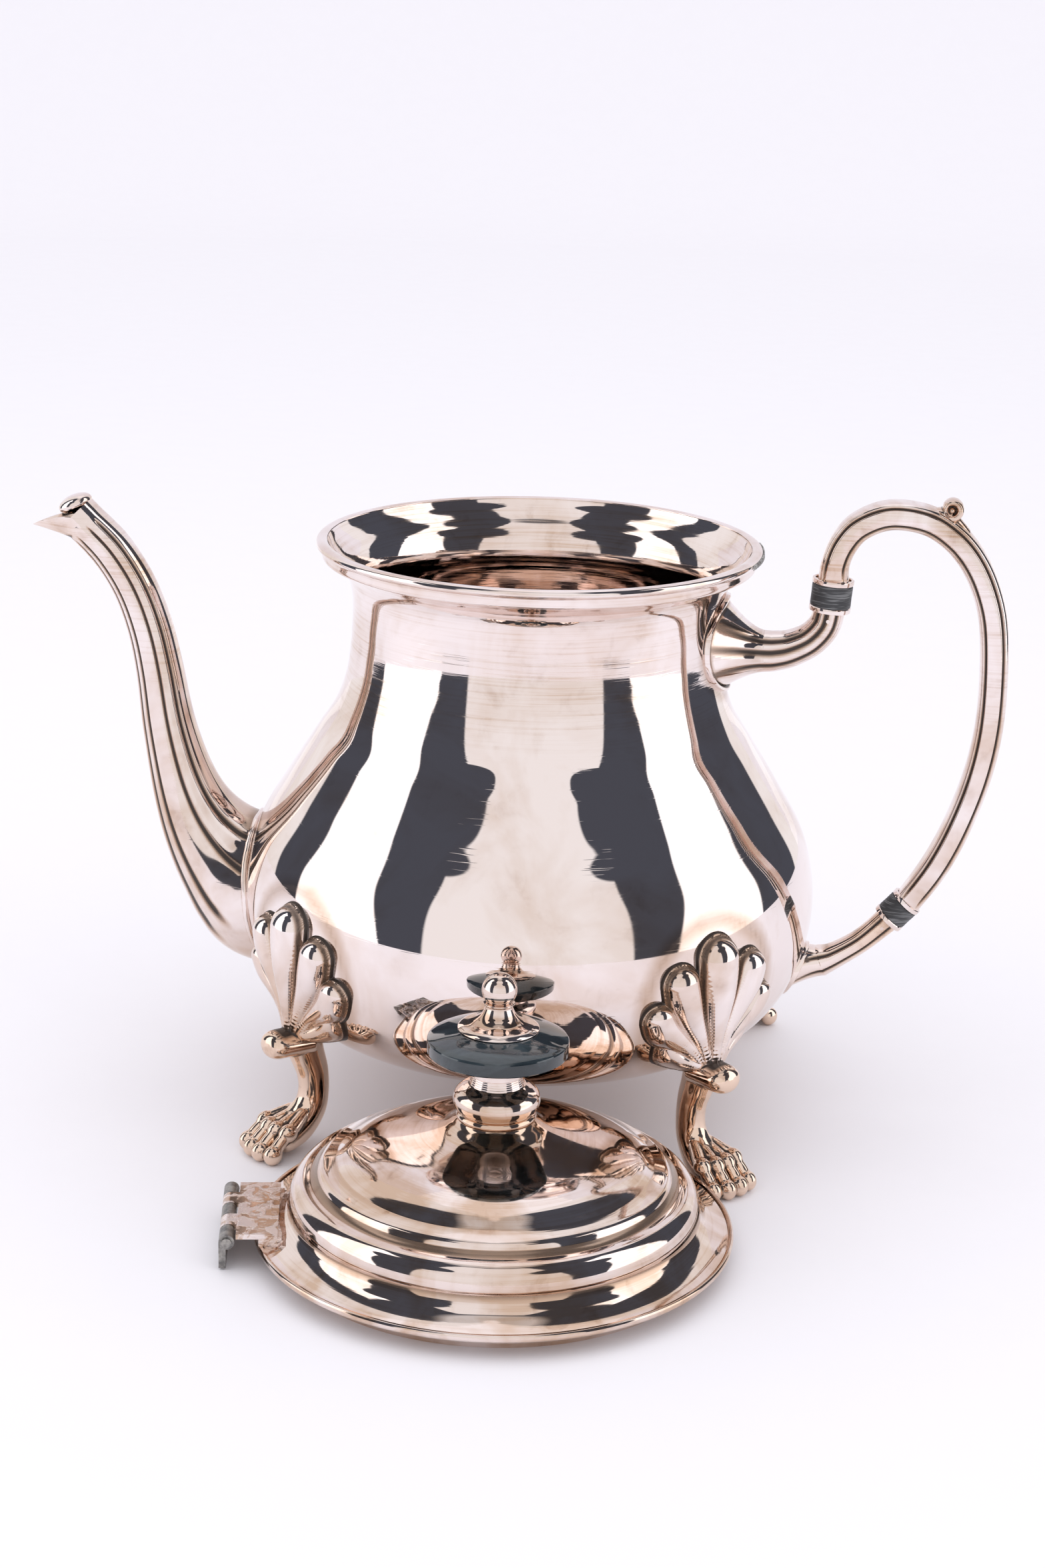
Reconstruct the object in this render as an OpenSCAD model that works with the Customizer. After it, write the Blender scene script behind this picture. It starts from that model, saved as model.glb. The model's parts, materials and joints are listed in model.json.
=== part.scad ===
/* [Pot body] */
// Outer radius of the rolled lip at the mouth
rim_r = 59; // [57:0.5:61]
// Height of the lip above the table
rim_z = 155.5; // [154:0.5:157]
// Largest radius of the belly
belly_r = 77.3; // [76:0.1:78]
// Height of the underside of the body
base_z = 16.4; // [15:0.1:18]
// Radius of the neck's straight bore
neck_r = 48; // [47.6:0.1:48.4]
// Thickness of the sheet metal
wall = 1.2; // [1:0.1:1.4]

/* [Spout] */
// Thickness of the cast spout wall
spout_wall = 1.3; // [1:0.1:1.6]
// Radius of a strainer hole
strain_r = 1.6; // [1.2:0.1:2]
// Distance between strainer holes
strain_pitch = 5.6; // [5:0.1:6]

/* [Handle] */
// Half thickness of the grip in the plane of the handle
grip_in = 3.75; // [3:0.05:4.5]
// Half width of the grip across the plane of the handle
grip_across = 5.0; // [4:0.1:6]
// Radius of the upper insulator
top_ins_r = 5.35; // [5:0.05:6]
// Radius of the lower insulator
low_ins_r = 4.35; // [4:0.05:5]

/* [Feet] */
// Distance of a sole's centre from the pot's axis
sole_r = 82; // [80:0.5:84]
// Half width of the paw over its toes
paw_half = 6.9; // [6:0.1:7.2]

/* [Lid] */
// Outer radius of the lid's flange
lid_r = 59; // [57:0.5:60]
// Where the lid's axis stands, left or right of the pot's axis
lid_x = 5.5; // [0:0.5:10]
// Where the lid's axis stands, in front of the pot's axis
lid_y = -99.5; // [-110:0.5:-99]
// How far the lid is turned about its own axis
lid_turn = 10.6; // [0:0.1:30]
// Radius of the knob's disc
disc_r = 17.25; // [16:0.25:19]

/* [Hinge] */
// Radius of the hinge barrel
barrel_r = 1.9; // [1.7:0.05:2.2]
// Radius of the hinge pin
pin_r = 0.95; // [0.8:0.05:1.1]
// Length of the barrel
barrel_len = 30; // [26:1:32]

/* [Hidden] */

eps = 0.01;
fit = 0.05;            // radial clearance of a pin or a spigot in its hole
silver = [0.86, 0.82, 0.78];
worn_silver = [0.78, 0.66, 0.54];
fibre = [0.22, 0.22, 0.23];
horn = [0.15, 0.22, 0.25];

// ---- curves -------------------------------------------------------------

// A point on the smooth curve through b and c, with a and d as its outer neighbours
function curve_point(a, b, c, d, t) =
    ((2 * b) + (c - a) * t + (2 * a - 5 * b + 4 * c - d) * t * t
    + (3 * b - a - 3 * c + d) * t * t * t) / 2;

// A smooth curve through all the points, with n steps between neighbours
function smooth(pts, n) = [
    for (i = [0:len(pts) - 2], k = [0:n - 1])
        curve_point(pts[max(i - 1, 0)], pts[i], pts[i + 1], pts[min(i + 2, len(pts) - 1)], k / n),
    pts[len(pts) - 1]];

function unit(v) = v / norm(v);

// Direction of a path at its point i
function heading(path, i) =
    let (a = path[max(i - 1, 0)], b = path[min(i + 1, len(path) - 1)])
    unit([b.x - a.x, b.y - a.y]);

// A profile of [radius, height] points moved to its left by d
function inset(pts, d) = [
    for (i = [0:len(pts) - 1])
        let (h = heading(pts, i)) [pts[i].x - h.y * d, pts[i].y + h.x * d]];

// Rounds a square section a little: 1 gives an ellipse, less gives flatter sides
function squared(v, power) = sign(v) * pow(abs(v), power);

// A solid bar along a path in the XZ plane; each point is [x, z, half thickness, half width]
module bar(path, sides = 20, grow = 0, power = 0.8) {
    last = len(path) - 1;
    rings = [
        for (i = [0:last], k = [0:sides - 1])
            let (p = path[i], h = heading(path, i), turn = 360 * k / sides,
                 u = (p[2] + grow) * squared(cos(turn), power),
                 v = (p[3] + grow) * squared(sin(turn), power))
            [p.x - h.y * u, v, p.y + h.x * u]];
    sides_faces = [
        for (i = [0:last - 1], k = [0:sides - 1])
            let (a = i * sides + k, b = i * sides + (k + 1) % sides)
            [a, b, b + sides, a + sides]];
    start_face = [[for (k = [sides - 1:-1:0]) k]];
    end_face = [[for (k = [0:sides - 1]) last * sides + k]];
    polyhedron(points = rings, faces = concat(sides_faces, start_face, end_face), convexity = 8);
}

module on_axis(turn) { rotate([0, 0, turn]) children(); }

// ---- pot body -----------------------------------------------------------

// Outside of the body from its underside up to the neck, then the flared mouth
body_outline = smooth([
    [0, base_z], [25, 16.7], [44, 19.4], [58, 24.3], [66.4, 30], [72.4, 38], [75.7, 47],
    [belly_r, 57], [76.6, 67], [73.4, 78], [66.4, 90], [58.9, 102], [53.6, 110.5],
    [50.7, 119], [49.6, 127]], 3);
neck_outline = smooth([
    [49.25, 133], [neck_r + wall, 139], [50, 144], [51.8, 147.4], [54.6, 150.2], [56.6, 152.4]], 2);
body_outer = concat(body_outline, neck_outline, [[57.2, 154], [57.2, rim_z]]);
neck_inner = concat([[neck_r, 133], [neck_r, 139.5]],
    smooth([[48.7, 143.8], [50.6, 147.6], [53.2, 150.6], [55, 153]], 2), [[55.8, rim_z]]);
body_inner = concat([[0, base_z + wall]],
    [for (p = inset(body_outline, wall)) if (p.x > 1) p], neck_inner);

module revolved(profile) { rotate_extrude($fn = 96) polygon(profile); }

// The body as if it were solid, a little larger, which trims everything that is soldered to it
seam = 0.05;
module body_solid() { revolved(concat([for (p = body_outer) [p.x + seam, p.y]], [[0, rim_z]])); }

strain_rows = 2;
strain_z = 56;

module strainer_holes() {
    for (row = [-strain_rows:strain_rows], col = [-strain_rows:strain_rows])
        if (abs(row) + abs(col) <= 3)
            translate([-belly_r - 5, (col + (row % 2) / 2) * strain_pitch, strain_z + row * strain_pitch])
                rotate([0, 90, 0]) cylinder(r = strain_r, h = belly_r / 3, $fn = 24);
}

module body_shell() {
    color(silver) difference() {
        revolved(concat(body_outer, [for (i = [len(body_inner) - 1:-1:0]) body_inner[i]]));
        strainer_holes();
    }
}

module rim_wire() {
    color(silver) difference() {
        revolved([
            [56, rim_z], [rim_r - 0.4, rim_z], [rim_r, rim_z - 0.5], [rim_r, rim_z - 1.4],
            [rim_r - 0.4, rim_z - 1.9], [rim_r - 1.4, rim_z - 2.1], [rim_r - 1.5, rim_z - 4.6],
            [rim_r - 1.9, rim_z - 5], [52, rim_z - 5]]);
        body_solid();
    }
}

// The patch of old solder on the lip where the torn hinge leaf was
solder_arc = 28;
module hinge_solder() {
    color(worn_silver) on_axis(-solder_arc / 2)
        rotate_extrude(angle = solder_arc, $fn = 96)
            polygon([[rim_r + eps, rim_z - 1.9], [rim_r + 0.45, rim_z - 1.6],
                     [rim_r + 0.35, rim_z - 0.6], [rim_r + eps, rim_z - 0.5]]);
}

// ---- spout --------------------------------------------------------------

spout_path = smooth([
    [-66, 55, 23.6, 17], [-74, 55.8, 23, 17], [-80, 58.8, 19.8, 15.2], [-85.8, 63.6, 15.4, 12.8],
    [-91, 70.2, 12.2, 10.8], [-95, 77.8, 9.9, 9.3], [-98.2, 87.2, 8.3, 8.2],
    [-101.2, 100, 7.1, 7.2], [-103.5, 114.5, 6.4, 6.5], [-106.1, 126.2, 6.1, 6.2],
    [-110.2, 137, 5.9, 6], [-116.2, 146.4, 5.8, 6], [-123.4, 153.6, 5.6, 5.9]], 3);
spout_mouth = [-127.6, 156.8, 5.6, 5.9];
beak_tip = [-138.4, 152.2];

module beak() {
    hull() {
        translate([beak_tip.x, 0, beak_tip.y]) sphere(r = 0.45, $fn = 16);
        for (side = [-1, 1])
            translate([-127.2, side * 3.6, 152.6]) sphere(r = 0.8, $fn = 16);
        translate([-127.2, 0, 150.4]) sphere(r = 0.9, $fn = 16);
    }
}

module spout_solid() {
    bar(spout_path, 24, 0, 0.9);
    beak();
}

module spout() {
    color(silver) difference() {
        spout_solid();
        bar(concat(spout_path, [spout_mouth]), 20, -spout_wall, 0.95);
        body_solid();
    }
}

// The rolled oval bead that closes the back of the mouth
cap_mid = [-126, 158.9];
cap_tilt = -18;
module mouth_cap() {
    color(silver) difference() {
        translate([cap_mid.x, 0, cap_mid.y]) rotate([0, cap_tilt, 0]) hull()
            for (along = [-1, 1]) {
                translate([along * 2.2, 0, 0]) sphere(r = 2.2, $fn = 24);
                translate([0, along * 2.8, 0]) sphere(r = 1.9, $fn = 24);
            }
        bar(concat(spout_path, [spout_mouth]), 24, 0, 0.9);
    }
}

// ---- handle -------------------------------------------------------------

top_joint = [77.4, 0, 145.3];
top_tilt = 4;
top_half = 2.95;
low_joint = [100.3, 0, 59.3];
low_tilt = 41.3;
low_half = 2.6;
collar_h = 1.4;
cup_depth = 0.5;
cup_lip = 0.8;
room_r = 8;
spigot_len = 5.5;
spigot_r = 2;
pin_hole_r = 0.5;
pin_at = collar_h + 2;

module at_top() { translate(top_joint) rotate([0, top_tilt, 0]) children(); }
module at_low() { translate(low_joint) rotate([0, low_tilt, 0]) children(); }

module insulator(r, half) {
    difference() {
        union() {
            cylinder(r = r, h = 2 * half, center = true, $fn = 48);
            cylinder(r = spigot_r, h = 2 * (half + spigot_len), center = true, $fn = 32);
        }
        cross_pins(r, half, pin_hole_r + fit);
    }
}

// The two pins that hold an insulator's spigots
module cross_pins(r, half, pin_radius) {
    for (end = [-1, 1])
        translate([0, 0, end * (half + pin_at)]) rotate([90, 0, 0])
            cylinder(r = pin_radius, h = 2 * (r - 0.2), center = true, $fn = 20);
}

// Hole for a spigot, in whatever is at that end of the insulator
module spigot_hole(r, half) {
    cylinder(r = spigot_r + fit, h = 2 * (half + spigot_len + 0.3), center = true, $fn = 32);
    cross_pins(r + 1, half, pin_hole_r + fit);
}

// A thin cup between an insulator and the silver; its lip turns towards end
module collar(r, half, end) {
    translate([0, 0, end * half]) mirror([0, 0, end < 0 ? 1 : 0]) difference() {
        rotate_extrude($fn = 48) polygon([
            [0, 0], [r, 0], [r + 0.15, 0.3], [r + 0.15, collar_h - 0.2], [r, collar_h],
            [r - cup_lip + 0.1, collar_h], [r - cup_lip, collar_h - cup_depth], [0, collar_h - cup_depth]]);
        cylinder(r = spigot_r + fit, h = 4 * collar_h, center = true, $fn = 32);
    }
}

// Room for an insulator with both its cups; what is left of a bar inside a cup is a round stub
module joint_room(r, half) {
    cylinder(r = room_r, h = 2 * (half + collar_h - cup_depth), center = true, $fn = 32);
    difference() {
        cylinder(r = room_r, h = 2 * (half + collar_h + fit), center = true, $fn = 32);
        cylinder(r = r - cup_lip - fit, h = 4 * half, center = true, $fn = 48);
    }
    spigot_hole(r, half);
}

upper_path = smooth([
    [42, 131.5, 13, 18], [47, 131.2, 12.6, 15], [51, 130.6, 11, 10.4], [55.4, 129.4, 8.6, 7.6],
    [60.8, 129, 6.2, 6],
    [67.5, 130.2, 4.9, 5], [72.6, 132.9, 4.5, 4.7], [76, 137, 4.3, 4.6], [77.1, 141.9, 4.2, 4.5]], 3);
grip_end = 4.1;
grip_path = smooth([
    [77.7, 148.9, grip_end, 4.5], [78, 154, grip_in, grip_across], [80, 159.5, grip_in, grip_across],
    [84, 164.2, grip_in, grip_across], [91.5, 167.3, grip_in, grip_across],
    [101, 166.4, grip_in, grip_across], [108.2, 162.2, grip_in, grip_across],
    [113.4, 156.4, grip_in, grip_across], [117.3, 148.8, grip_in, grip_across],
    [119.8, 139.8, grip_in, grip_across], [120.9, 126.4, grip_in, grip_across],
    [120.7, 111.7, grip_in, grip_across], [118.5, 97.8, grip_in, grip_across],
    [114.1, 83.5, grip_in, grip_across], [109, 72, grip_in, grip_across - 0.3],
    [102.9, 62.2, 3.6, 3.9]], 3);
lower_path = smooth([
    [62, 36, 9, 12], [70, 38.4, 7.6, 9], [76, 40.8, 5.2, 5.6], [84.2, 45, 3.4, 4.2],
    [91.2, 49.9, 3.1, 3.8], [97.7, 56.3, 3.4, 3.7]], 3);

module upper_socket() {
    color(silver) difference() {
        bar(upper_path);
        body_solid();
        at_top() joint_room(top_ins_r, top_half);
    }
}

module lower_socket() {
    color(worn_silver) difference() {
        bar(lower_path);
        body_solid();
        at_low() joint_room(low_ins_r, low_half);
    }
}

module handle_grip() {
    color(silver) difference() {
        bar(grip_path, 20, 0, 0.7);
        at_top() joint_room(top_ins_r, top_half);
        at_low() joint_room(low_ins_r, low_half);
    }
}

module upper_collar_low() { color(silver) at_top() collar(top_ins_r, top_half, -1); }
module upper_collar_top() { color(silver) at_top() collar(top_ins_r, top_half, 1); }
module lower_collar_low() { color(silver) at_low() collar(low_ins_r, low_half, -1); }
module lower_collar_top() { color(silver) at_low() collar(low_ins_r, low_half, 1); }
module upper_insulator() { color(fibre) at_top() insulator(top_ins_r, top_half); }
module lower_insulator() { color(fibre) at_low() insulator(low_ins_r, low_half); }

module insulator_pins() {
    color(silver) {
        at_top() cross_pins(top_ins_r - 0.6, top_half, pin_hole_r);
        at_low() cross_pins(low_ins_r - 0.4, low_half, pin_hole_r);
    }
}

// A rolled leaf end that stops the thumb
module thumb_scroll() {
    color(silver) difference() {
        union() {
            translate([106.8, 0, 171.2]) rotate([90, 0, 0])
                cylinder(r = 2.3, h = 5.6, center = true, $fn = 28);
            hull() {
                translate([104.4, 0, 170.4]) sphere(r = 1.5, $fn = 20);
                translate([101.5, 0, 169]) sphere(r = 1.1, $fn = 20);
                translate([106, 0, 167.6]) sphere(r = 1.8, $fn = 20);
            }
        }
        bar(grip_path, 20, 0, 0.7);
    }
}

// ---- feet ---------------------------------------------------------------

foot_turns = [225, -45, 135, 45];
leg_path = smooth([
    [73, 36.5, 5.4, 4.6], [74.4, 32, 5.6, 4.4], [72.6, 26.5, 5.2, 3.6], [71, 21, 4.8, 3],
    [70.6, 15.5, 4.7, 2.9], [71.8, 10.4, 4.9, 3.3], [75.6, 6.1, 5.3, 4.4], [81, 4.7, 4.9, 5.4],
    [86.5, 4.2, 4.1, paw_half - 1]], 2);
toe_gap = 3.3;
toe_r = 1.9;

module toe(offset_y) {
    hull() {
        translate([80, offset_y * 0.75, 6.6]) sphere(r = toe_r, $fn = 10);
        translate([86.8, offset_y, 5]) sphere(r = toe_r, $fn = 10);
        translate([90, offset_y, 2.5]) sphere(r = toe_r, $fn = 10);
    }
}

module foot_solid() {
    bar(leg_path, 14, 0, 0.95);
    for (k = [-1.5:1:1.5]) toe(k * toe_gap);
    hull() {
        translate([76, 0, 31]) sphere(r = 3.6, $fn = 14);
        translate([82.6, 0, 31]) sphere(r = 2.9, $fn = 14);
    }
}

module foot(turn) {
    color(worn_silver) difference() {
        on_axis(turn) difference() {
            foot_solid();
            translate([sole_r - 30, -20, -20]) cube([60, 40, 20]);
        }
        body_solid();
    }
}

// One plump lobe of a shell: a thin root, a full middle and a round tip
module lobe(side, root, mid, tip) {
    hull() {
        translate([root.x, side * root.y, root.z]) sphere(r = root[3], $fn = 8);
        translate([mid.x, side * mid.y, mid.z]) sphere(r = mid[3], $fn = 12);
        translate([tip.x, side * tip.y, tip.z]) sphere(r = tip[3], $fn = 14);
    }
}

module shell_solid() {
    lobe(1, [77.2, 0, 34, 1.6], [77.8, 0, 50, 4], [76.6, 0, 61.4, 5.4]);
    for (side = [-1, 1]) {
        lobe(side, [77, 1.4, 33.8, 1.4], [77.6, 6, 46, 3.2], [75.8, 9.6, 56.8, 4.4]);
        lobe(side, [76.4, 2.6, 34, 1.5], [76, 9.2, 41.6, 3.2], [74.2, 14, 47, 3.9]);
    }
    for (side = [-1, 1])
        lobe(side, [73, 4, 33.4, 2.2], [72.2, 6.8, 34.6, 2.6], [71.8, 9.2, 36.6, 2.8]);
}

module knee_shell(turn) {
    color(silver) difference() {
        on_axis(turn) difference() {
            shell_solid();
            foot_solid();
        }
        body_solid();
    }
}

module foot_front_left() { foot(foot_turns[0]); }
module foot_front_right() { foot(foot_turns[1]); }
module foot_back_left() { foot(foot_turns[2]); }
module foot_back_right() { foot(foot_turns[3]); }
module knee_shell_front_left() { knee_shell(foot_turns[0]); }
module knee_shell_front_right() { knee_shell(foot_turns[1]); }
module knee_shell_back_left() { knee_shell(foot_turns[2]); }
module knee_shell_back_right() { knee_shell(foot_turns[3]); }

// ---- lid ----------------------------------------------------------------

lid_wall = 1;
bolt_r = 2;
bolt_hole_r = bolt_r + fit;
crown_z = 34.2;
crown_r = 9.6;
stem_z = 43;
disc_z = 51.2;
finial_z = 57.1;
ball_r = 4.3;
ball_z = 67.1;

// Outside of the lid from its edge in to the knob, as [radius, height] points
lid_outline = concat(
    [[lid_r - 0.6, 5.6]],
    smooth([[55.6, 6.6], [52.6, 8.3], [50.7, 10.2]], 3),
    smooth([[50, 11.4], [50.1, 13.6], [49.3, 16], [47.4, 17.8], [45, 18.5]], 2),
    smooth([[43.4, 19.6], [42.6, 21], [41, 21.8]], 2),
    smooth([[39, 22.6], [34.5, 25.2], [28, 27.4], [20, 29.3], [14, 31.2], [10.8, 33.2],
        [crown_r, crown_z]], 2));
lid_inline = [for (p = inset(lid_outline, lid_wall)) if (p.x > crown_r) p];

module at_lid() { translate([lid_x, lid_y, 0]) rotate([0, 0, lid_turn]) children(); }

module lid_sheet() {
    revolved(concat([[bolt_hole_r, crown_z]],
        [for (i = [len(lid_outline) - 1:-1:0]) lid_outline[i]],
        lid_inline, [[crown_r - 0.6, crown_z - lid_wall], [bolt_hole_r, crown_z - lid_wall]]));
}

module lid_cover() { color(silver) at_lid() lid_sheet(); }

module lid_edge_wire() {
    color(silver) at_lid() difference() {
        revolved([
            [lid_r - 1.4, 4.5], [lid_r - 0.5, 4.2], [lid_r, 4.7], [lid_r, 5.6],
            [lid_r - 0.5, 6.1], [lid_r - 1.4, 6.1]]);
        lid_sheet();
    }
}

bezel_r = 53;
bezel_h = 7.6;

// Everything above the lid's outside
module over_lid() {
    high = 2 * lid_r;
    revolved(concat(
        [[0, high]], [for (i = [len(lid_outline) - 1:-1:0]) lid_outline[i]],
        [[high, lid_outline[0].y], [high, high]]));
}

module lid_bezel() {
    color(silver) at_lid() difference() {
        revolved([[bezel_r - 1, 0], [bezel_r, 0], [bezel_r, bezel_h], [bezel_r - 1, bezel_h]]);
        lid_sheet();
        over_lid();
    }
}

module bored_ring(profile) {
    difference() {
        revolved(profile);
        translate([0, 0, -eps]) cylinder(r = bolt_hole_r, h = 80, $fn = 32);
    }
}

module knob_collar() {
    color(silver) at_lid() bored_ring([
        [0, crown_z], [9.4, crown_z], [9.8, 34.8], [9.4, 35.8], [8.8, 36.2], [10, 36.8],
        [10.65, 38.2], [10.65, 39.4], [10, 40.8], [8.6, 42], [7.2, 42.6], [6.9, stem_z], [0, stem_z]]);
}

module knob_stem() {
    color(silver) at_lid() bored_ring(concat([[0, stem_z]],
        smooth([[6.7, stem_z], [6.15, 45], [6.1, 47.5], [6.3, 49.6], [6.7, disc_z]], 2), [[0, disc_z]]));
}

module knob_disc() {
    color(horn) at_lid() bored_ring([
        [0, disc_z], [disc_r - 0.4, disc_z], [disc_r, disc_z + 0.3], [disc_r, disc_z + 3.1],
        [disc_r - 0.4, disc_z + 3.6], [14, disc_z + 4.8], [10, finial_z], [0, finial_z]]);
}

module knob_finial() {
    color(silver) at_lid() difference() {
        union() {
            revolved(concat([[0, finial_z], [9.5, finial_z]],
                smooth([[9.85, 57.6], [8.6, 58.5], [5.8, 59.4], [3.9, 61], [3.2, 62.6]], 2),
                [[3.7, 63.2], [3.7, 63.9], [0, 63.9]]));
            translate([0, 0, ball_z]) sphere(r = ball_r, $fn = 48);
        }
        translate([0, 0, finial_z - eps]) cylinder(r = bolt_hole_r, h = 4, $fn = 32);
    }
}

nut_z = 29;
washer_z = 32.2;

module knob_bolt() {
    color(silver) at_lid() translate([0, 0, nut_z - 1.2])
        cylinder(r = bolt_r, h = finial_z + 3.6 - nut_z + 1.2, $fn = 32);
}

module knob_washer() {
    color(silver) at_lid() translate([0, 0, washer_z]) difference() {
        cylinder(r = 6, h = crown_z - lid_wall - washer_z - eps, $fn = 48);
        translate([0, 0, -1]) cylinder(r = bolt_hole_r, h = 4, $fn = 32);
    }
}

module knob_nut() {
    color(worn_silver) at_lid() translate([0, 0, nut_z]) difference() {
        cylinder(r = 4.4, h = washer_z - nut_z, $fn = 6);
        translate([0, 0, -1]) cylinder(r = bolt_hole_r, h = 8, $fn = 32);
    }
}

// ---- hinge --------------------------------------------------------------

barrel_x = -64.8;
barrel_z = 7.6;
knuckles = 5;
knuckle_gap = 0.2;
knuckle_len = barrel_len / knuckles;
leaf_w = barrel_len - 1;
lid_leaf_t = 1.3;
pot_leaf_t = 1.7;
pot_leaf_drop = 7;
leaf_tail_x = -52.6;
barrel_clear = 0.3;

// Knuckle number k of the barrel, still without the hole for the pin
module knuckle(k) {
    translate([barrel_x, -barrel_len / 2 + (k + 0.5) * knuckle_len, barrel_z]) rotate([90, 0, 0])
        cylinder(r = barrel_r, h = knuckle_len - knuckle_gap, center = true, $fn = 36);
}

// A round bar along the hinge's axis
module along_barrel(r, length) {
    translate([barrel_x, 0, barrel_z]) rotate([90, 0, 0])
        cylinder(r = r, h = length, center = true, $fn = 36);
}

// A slab across knuckle k, from x0 to x1 and from z0 to z1
module knuckle_slab(k, x0, x1, z0, z1) {
    translate([x0, -barrel_len / 2 + k * knuckle_len + knuckle_gap / 2, z0])
        cube([x1 - x0, knuckle_len - knuckle_gap, z1 - z0]);
}

module hinge_lid_leaf() {
    top_z = barrel_z + barrel_r;
    notch_x = barrel_x + barrel_r + barrel_clear;
    color(silver) at_lid() difference() {
        union() {
            translate([notch_x, -leaf_w / 2, top_z - lid_leaf_t])
                cube([leaf_tail_x - notch_x, leaf_w, lid_leaf_t]);
            for (k = [1, 3]) {
                knuckle(k);
                knuckle_slab(k, barrel_x, notch_x + 1, top_z - lid_leaf_t, top_z);
            }
        }
        along_barrel(pin_r + fit, barrel_len + 4);
    }
}

// The pad between the lid's flange and its hinge leaf
pad_z = 5;
module hinge_pad() {
    pad_w = leaf_w - 1;
    color(worn_silver) at_lid() difference() {
        intersection() {
            translate([-lid_r, -pad_w / 2, pad_z])
                cube([lid_r + leaf_tail_x + 1, pad_w, barrel_z + barrel_r - lid_leaf_t - pad_z]);
            cylinder(r = lid_r - 0.1, h = 20, $fn = 96);
        }
        revolved([[0, -1], [lid_r - 0.6, -1], each lid_outline, [0, crown_z]]);
        revolved([
            [lid_r - 1.45, 4], [lid_r + 1, 4], [lid_r + 1, 6.15], [lid_r - 1.45, 6.15]]);
    }
}

module hinge_pin() {
    color(silver) at_lid() {
        along_barrel(pin_r, barrel_len + 0.5);
        for (end = [-1, 1])
            translate([barrel_x, end * (barrel_len / 2 + 0.25), barrel_z]) rotate([90, 0, 0])
                cylinder(r = pin_r + 0.25, h = 0.4, center = true, $fn = 30);
    }
}

module hinge_pot_leaf() {
    color(worn_silver) at_lid() difference() {
        union() {
            for (k = [0, 2, 4]) {
                knuckle(k);
                knuckle_slab(k, barrel_x - barrel_r, barrel_x - barrel_r + pot_leaf_t,
                    barrel_z - barrel_r - 1, barrel_z);
            }
            translate([barrel_x - barrel_r, -leaf_w / 2, barrel_z - pot_leaf_drop])
                cube([pot_leaf_t, leaf_w, pot_leaf_drop - barrel_r - barrel_clear]);
        }
        along_barrel(pin_r + fit, barrel_len + 4);
    }
}

body_shell();
rim_wire();
spout();
mouth_cap();
upper_socket();
upper_collar_low();
upper_insulator();
upper_collar_top();
handle_grip();
thumb_scroll();
lower_collar_top();
lower_insulator();
lower_collar_low();
lower_socket();
insulator_pins();
foot_front_left();
foot_front_right();
foot_back_left();
foot_back_right();
knee_shell_front_left();
knee_shell_front_right();
knee_shell_back_left();
knee_shell_back_right();
hinge_solder();
lid_cover();
lid_edge_wire();
lid_bezel();
knob_collar();
knob_stem();
knob_disc();
knob_finial();
knob_bolt();
knob_washer();
knob_nut();
hinge_pad();
hinge_lid_leaf();
hinge_pin();
hinge_pot_leaf();
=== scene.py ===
import json
import math

import bpy
import numpy as np
from mathutils import Matrix, Vector


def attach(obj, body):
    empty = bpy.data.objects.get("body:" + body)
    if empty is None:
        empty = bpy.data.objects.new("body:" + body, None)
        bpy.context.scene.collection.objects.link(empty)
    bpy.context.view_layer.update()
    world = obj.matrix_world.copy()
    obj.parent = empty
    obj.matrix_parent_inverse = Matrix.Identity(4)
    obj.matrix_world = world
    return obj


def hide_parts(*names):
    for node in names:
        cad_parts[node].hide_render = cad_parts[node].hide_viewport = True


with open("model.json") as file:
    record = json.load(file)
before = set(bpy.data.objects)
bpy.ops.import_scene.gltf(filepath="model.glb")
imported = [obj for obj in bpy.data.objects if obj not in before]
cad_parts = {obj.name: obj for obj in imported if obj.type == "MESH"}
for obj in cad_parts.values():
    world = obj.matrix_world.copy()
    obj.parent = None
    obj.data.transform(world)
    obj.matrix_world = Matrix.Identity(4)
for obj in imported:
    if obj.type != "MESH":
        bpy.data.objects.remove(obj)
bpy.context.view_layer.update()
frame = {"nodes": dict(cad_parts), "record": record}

bl_info = {
    "name": "Silver coffee pot",
    "version": (1, 0, 0),
    "blender": (4, 5, 0),
    "location": "View3D > Sidebar > Coffee pot",
    "description": "Builds the silver skins, the finishes and the studio of a coffee pot",
    "category": "Object",
}

# Metres in a millimetre, the bearing of each foot in degrees, and points in a ring of a turned piece.
MM = 0.001
FEET = {"front_left": 225.0, "front_right": -45.0, "back_left": 135.0, "back_right": 45.0}
FINE_ROUND, SMALL_ROUND = 256, 96
NO_TRIANGLES = np.zeros((0, 3), int)


# ---- curves and surfaces, in millimetres ---------------------------------


def spline(points, steps):
    """Catmull-Rom curve: cubic blends of each four neighbours, so it passes through every point."""
    p = np.asarray(points, float)
    q = np.vstack([p[:1], p, p[-1:]])
    t = (np.arange(steps) / steps)[None, :, None]
    a, b, c, d = (q[k:k + len(p) - 1, None, :] for k in range(4))
    curve = (2 * b + (c - a) * t + (2 * a - 5 * b + 4 * c - d) * t**2
             + (3 * b - a - 3 * c + d) * t**3) / 2
    return np.vstack([curve.reshape(-1, p.shape[1]), p[-1:]])


def unit(v):
    """Each row of v at length one."""
    return v / np.linalg.norm(v, axis=-1, keepdims=True)


def headings(path):
    """Unit direction of a path at each of its points, from its two neighbours."""
    ahead = np.vstack([path[1:], path[-1:]])
    behind = np.vstack([path[:1], path[:-1]])
    return unit(ahead - behind)


def inset(profile, depth):
    """A profile of (radius, height) points moved to its left by that depth."""
    h = headings(profile)
    return profile + depth * np.stack([-h[:, 1], h[:, 0]], -1)


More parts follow.
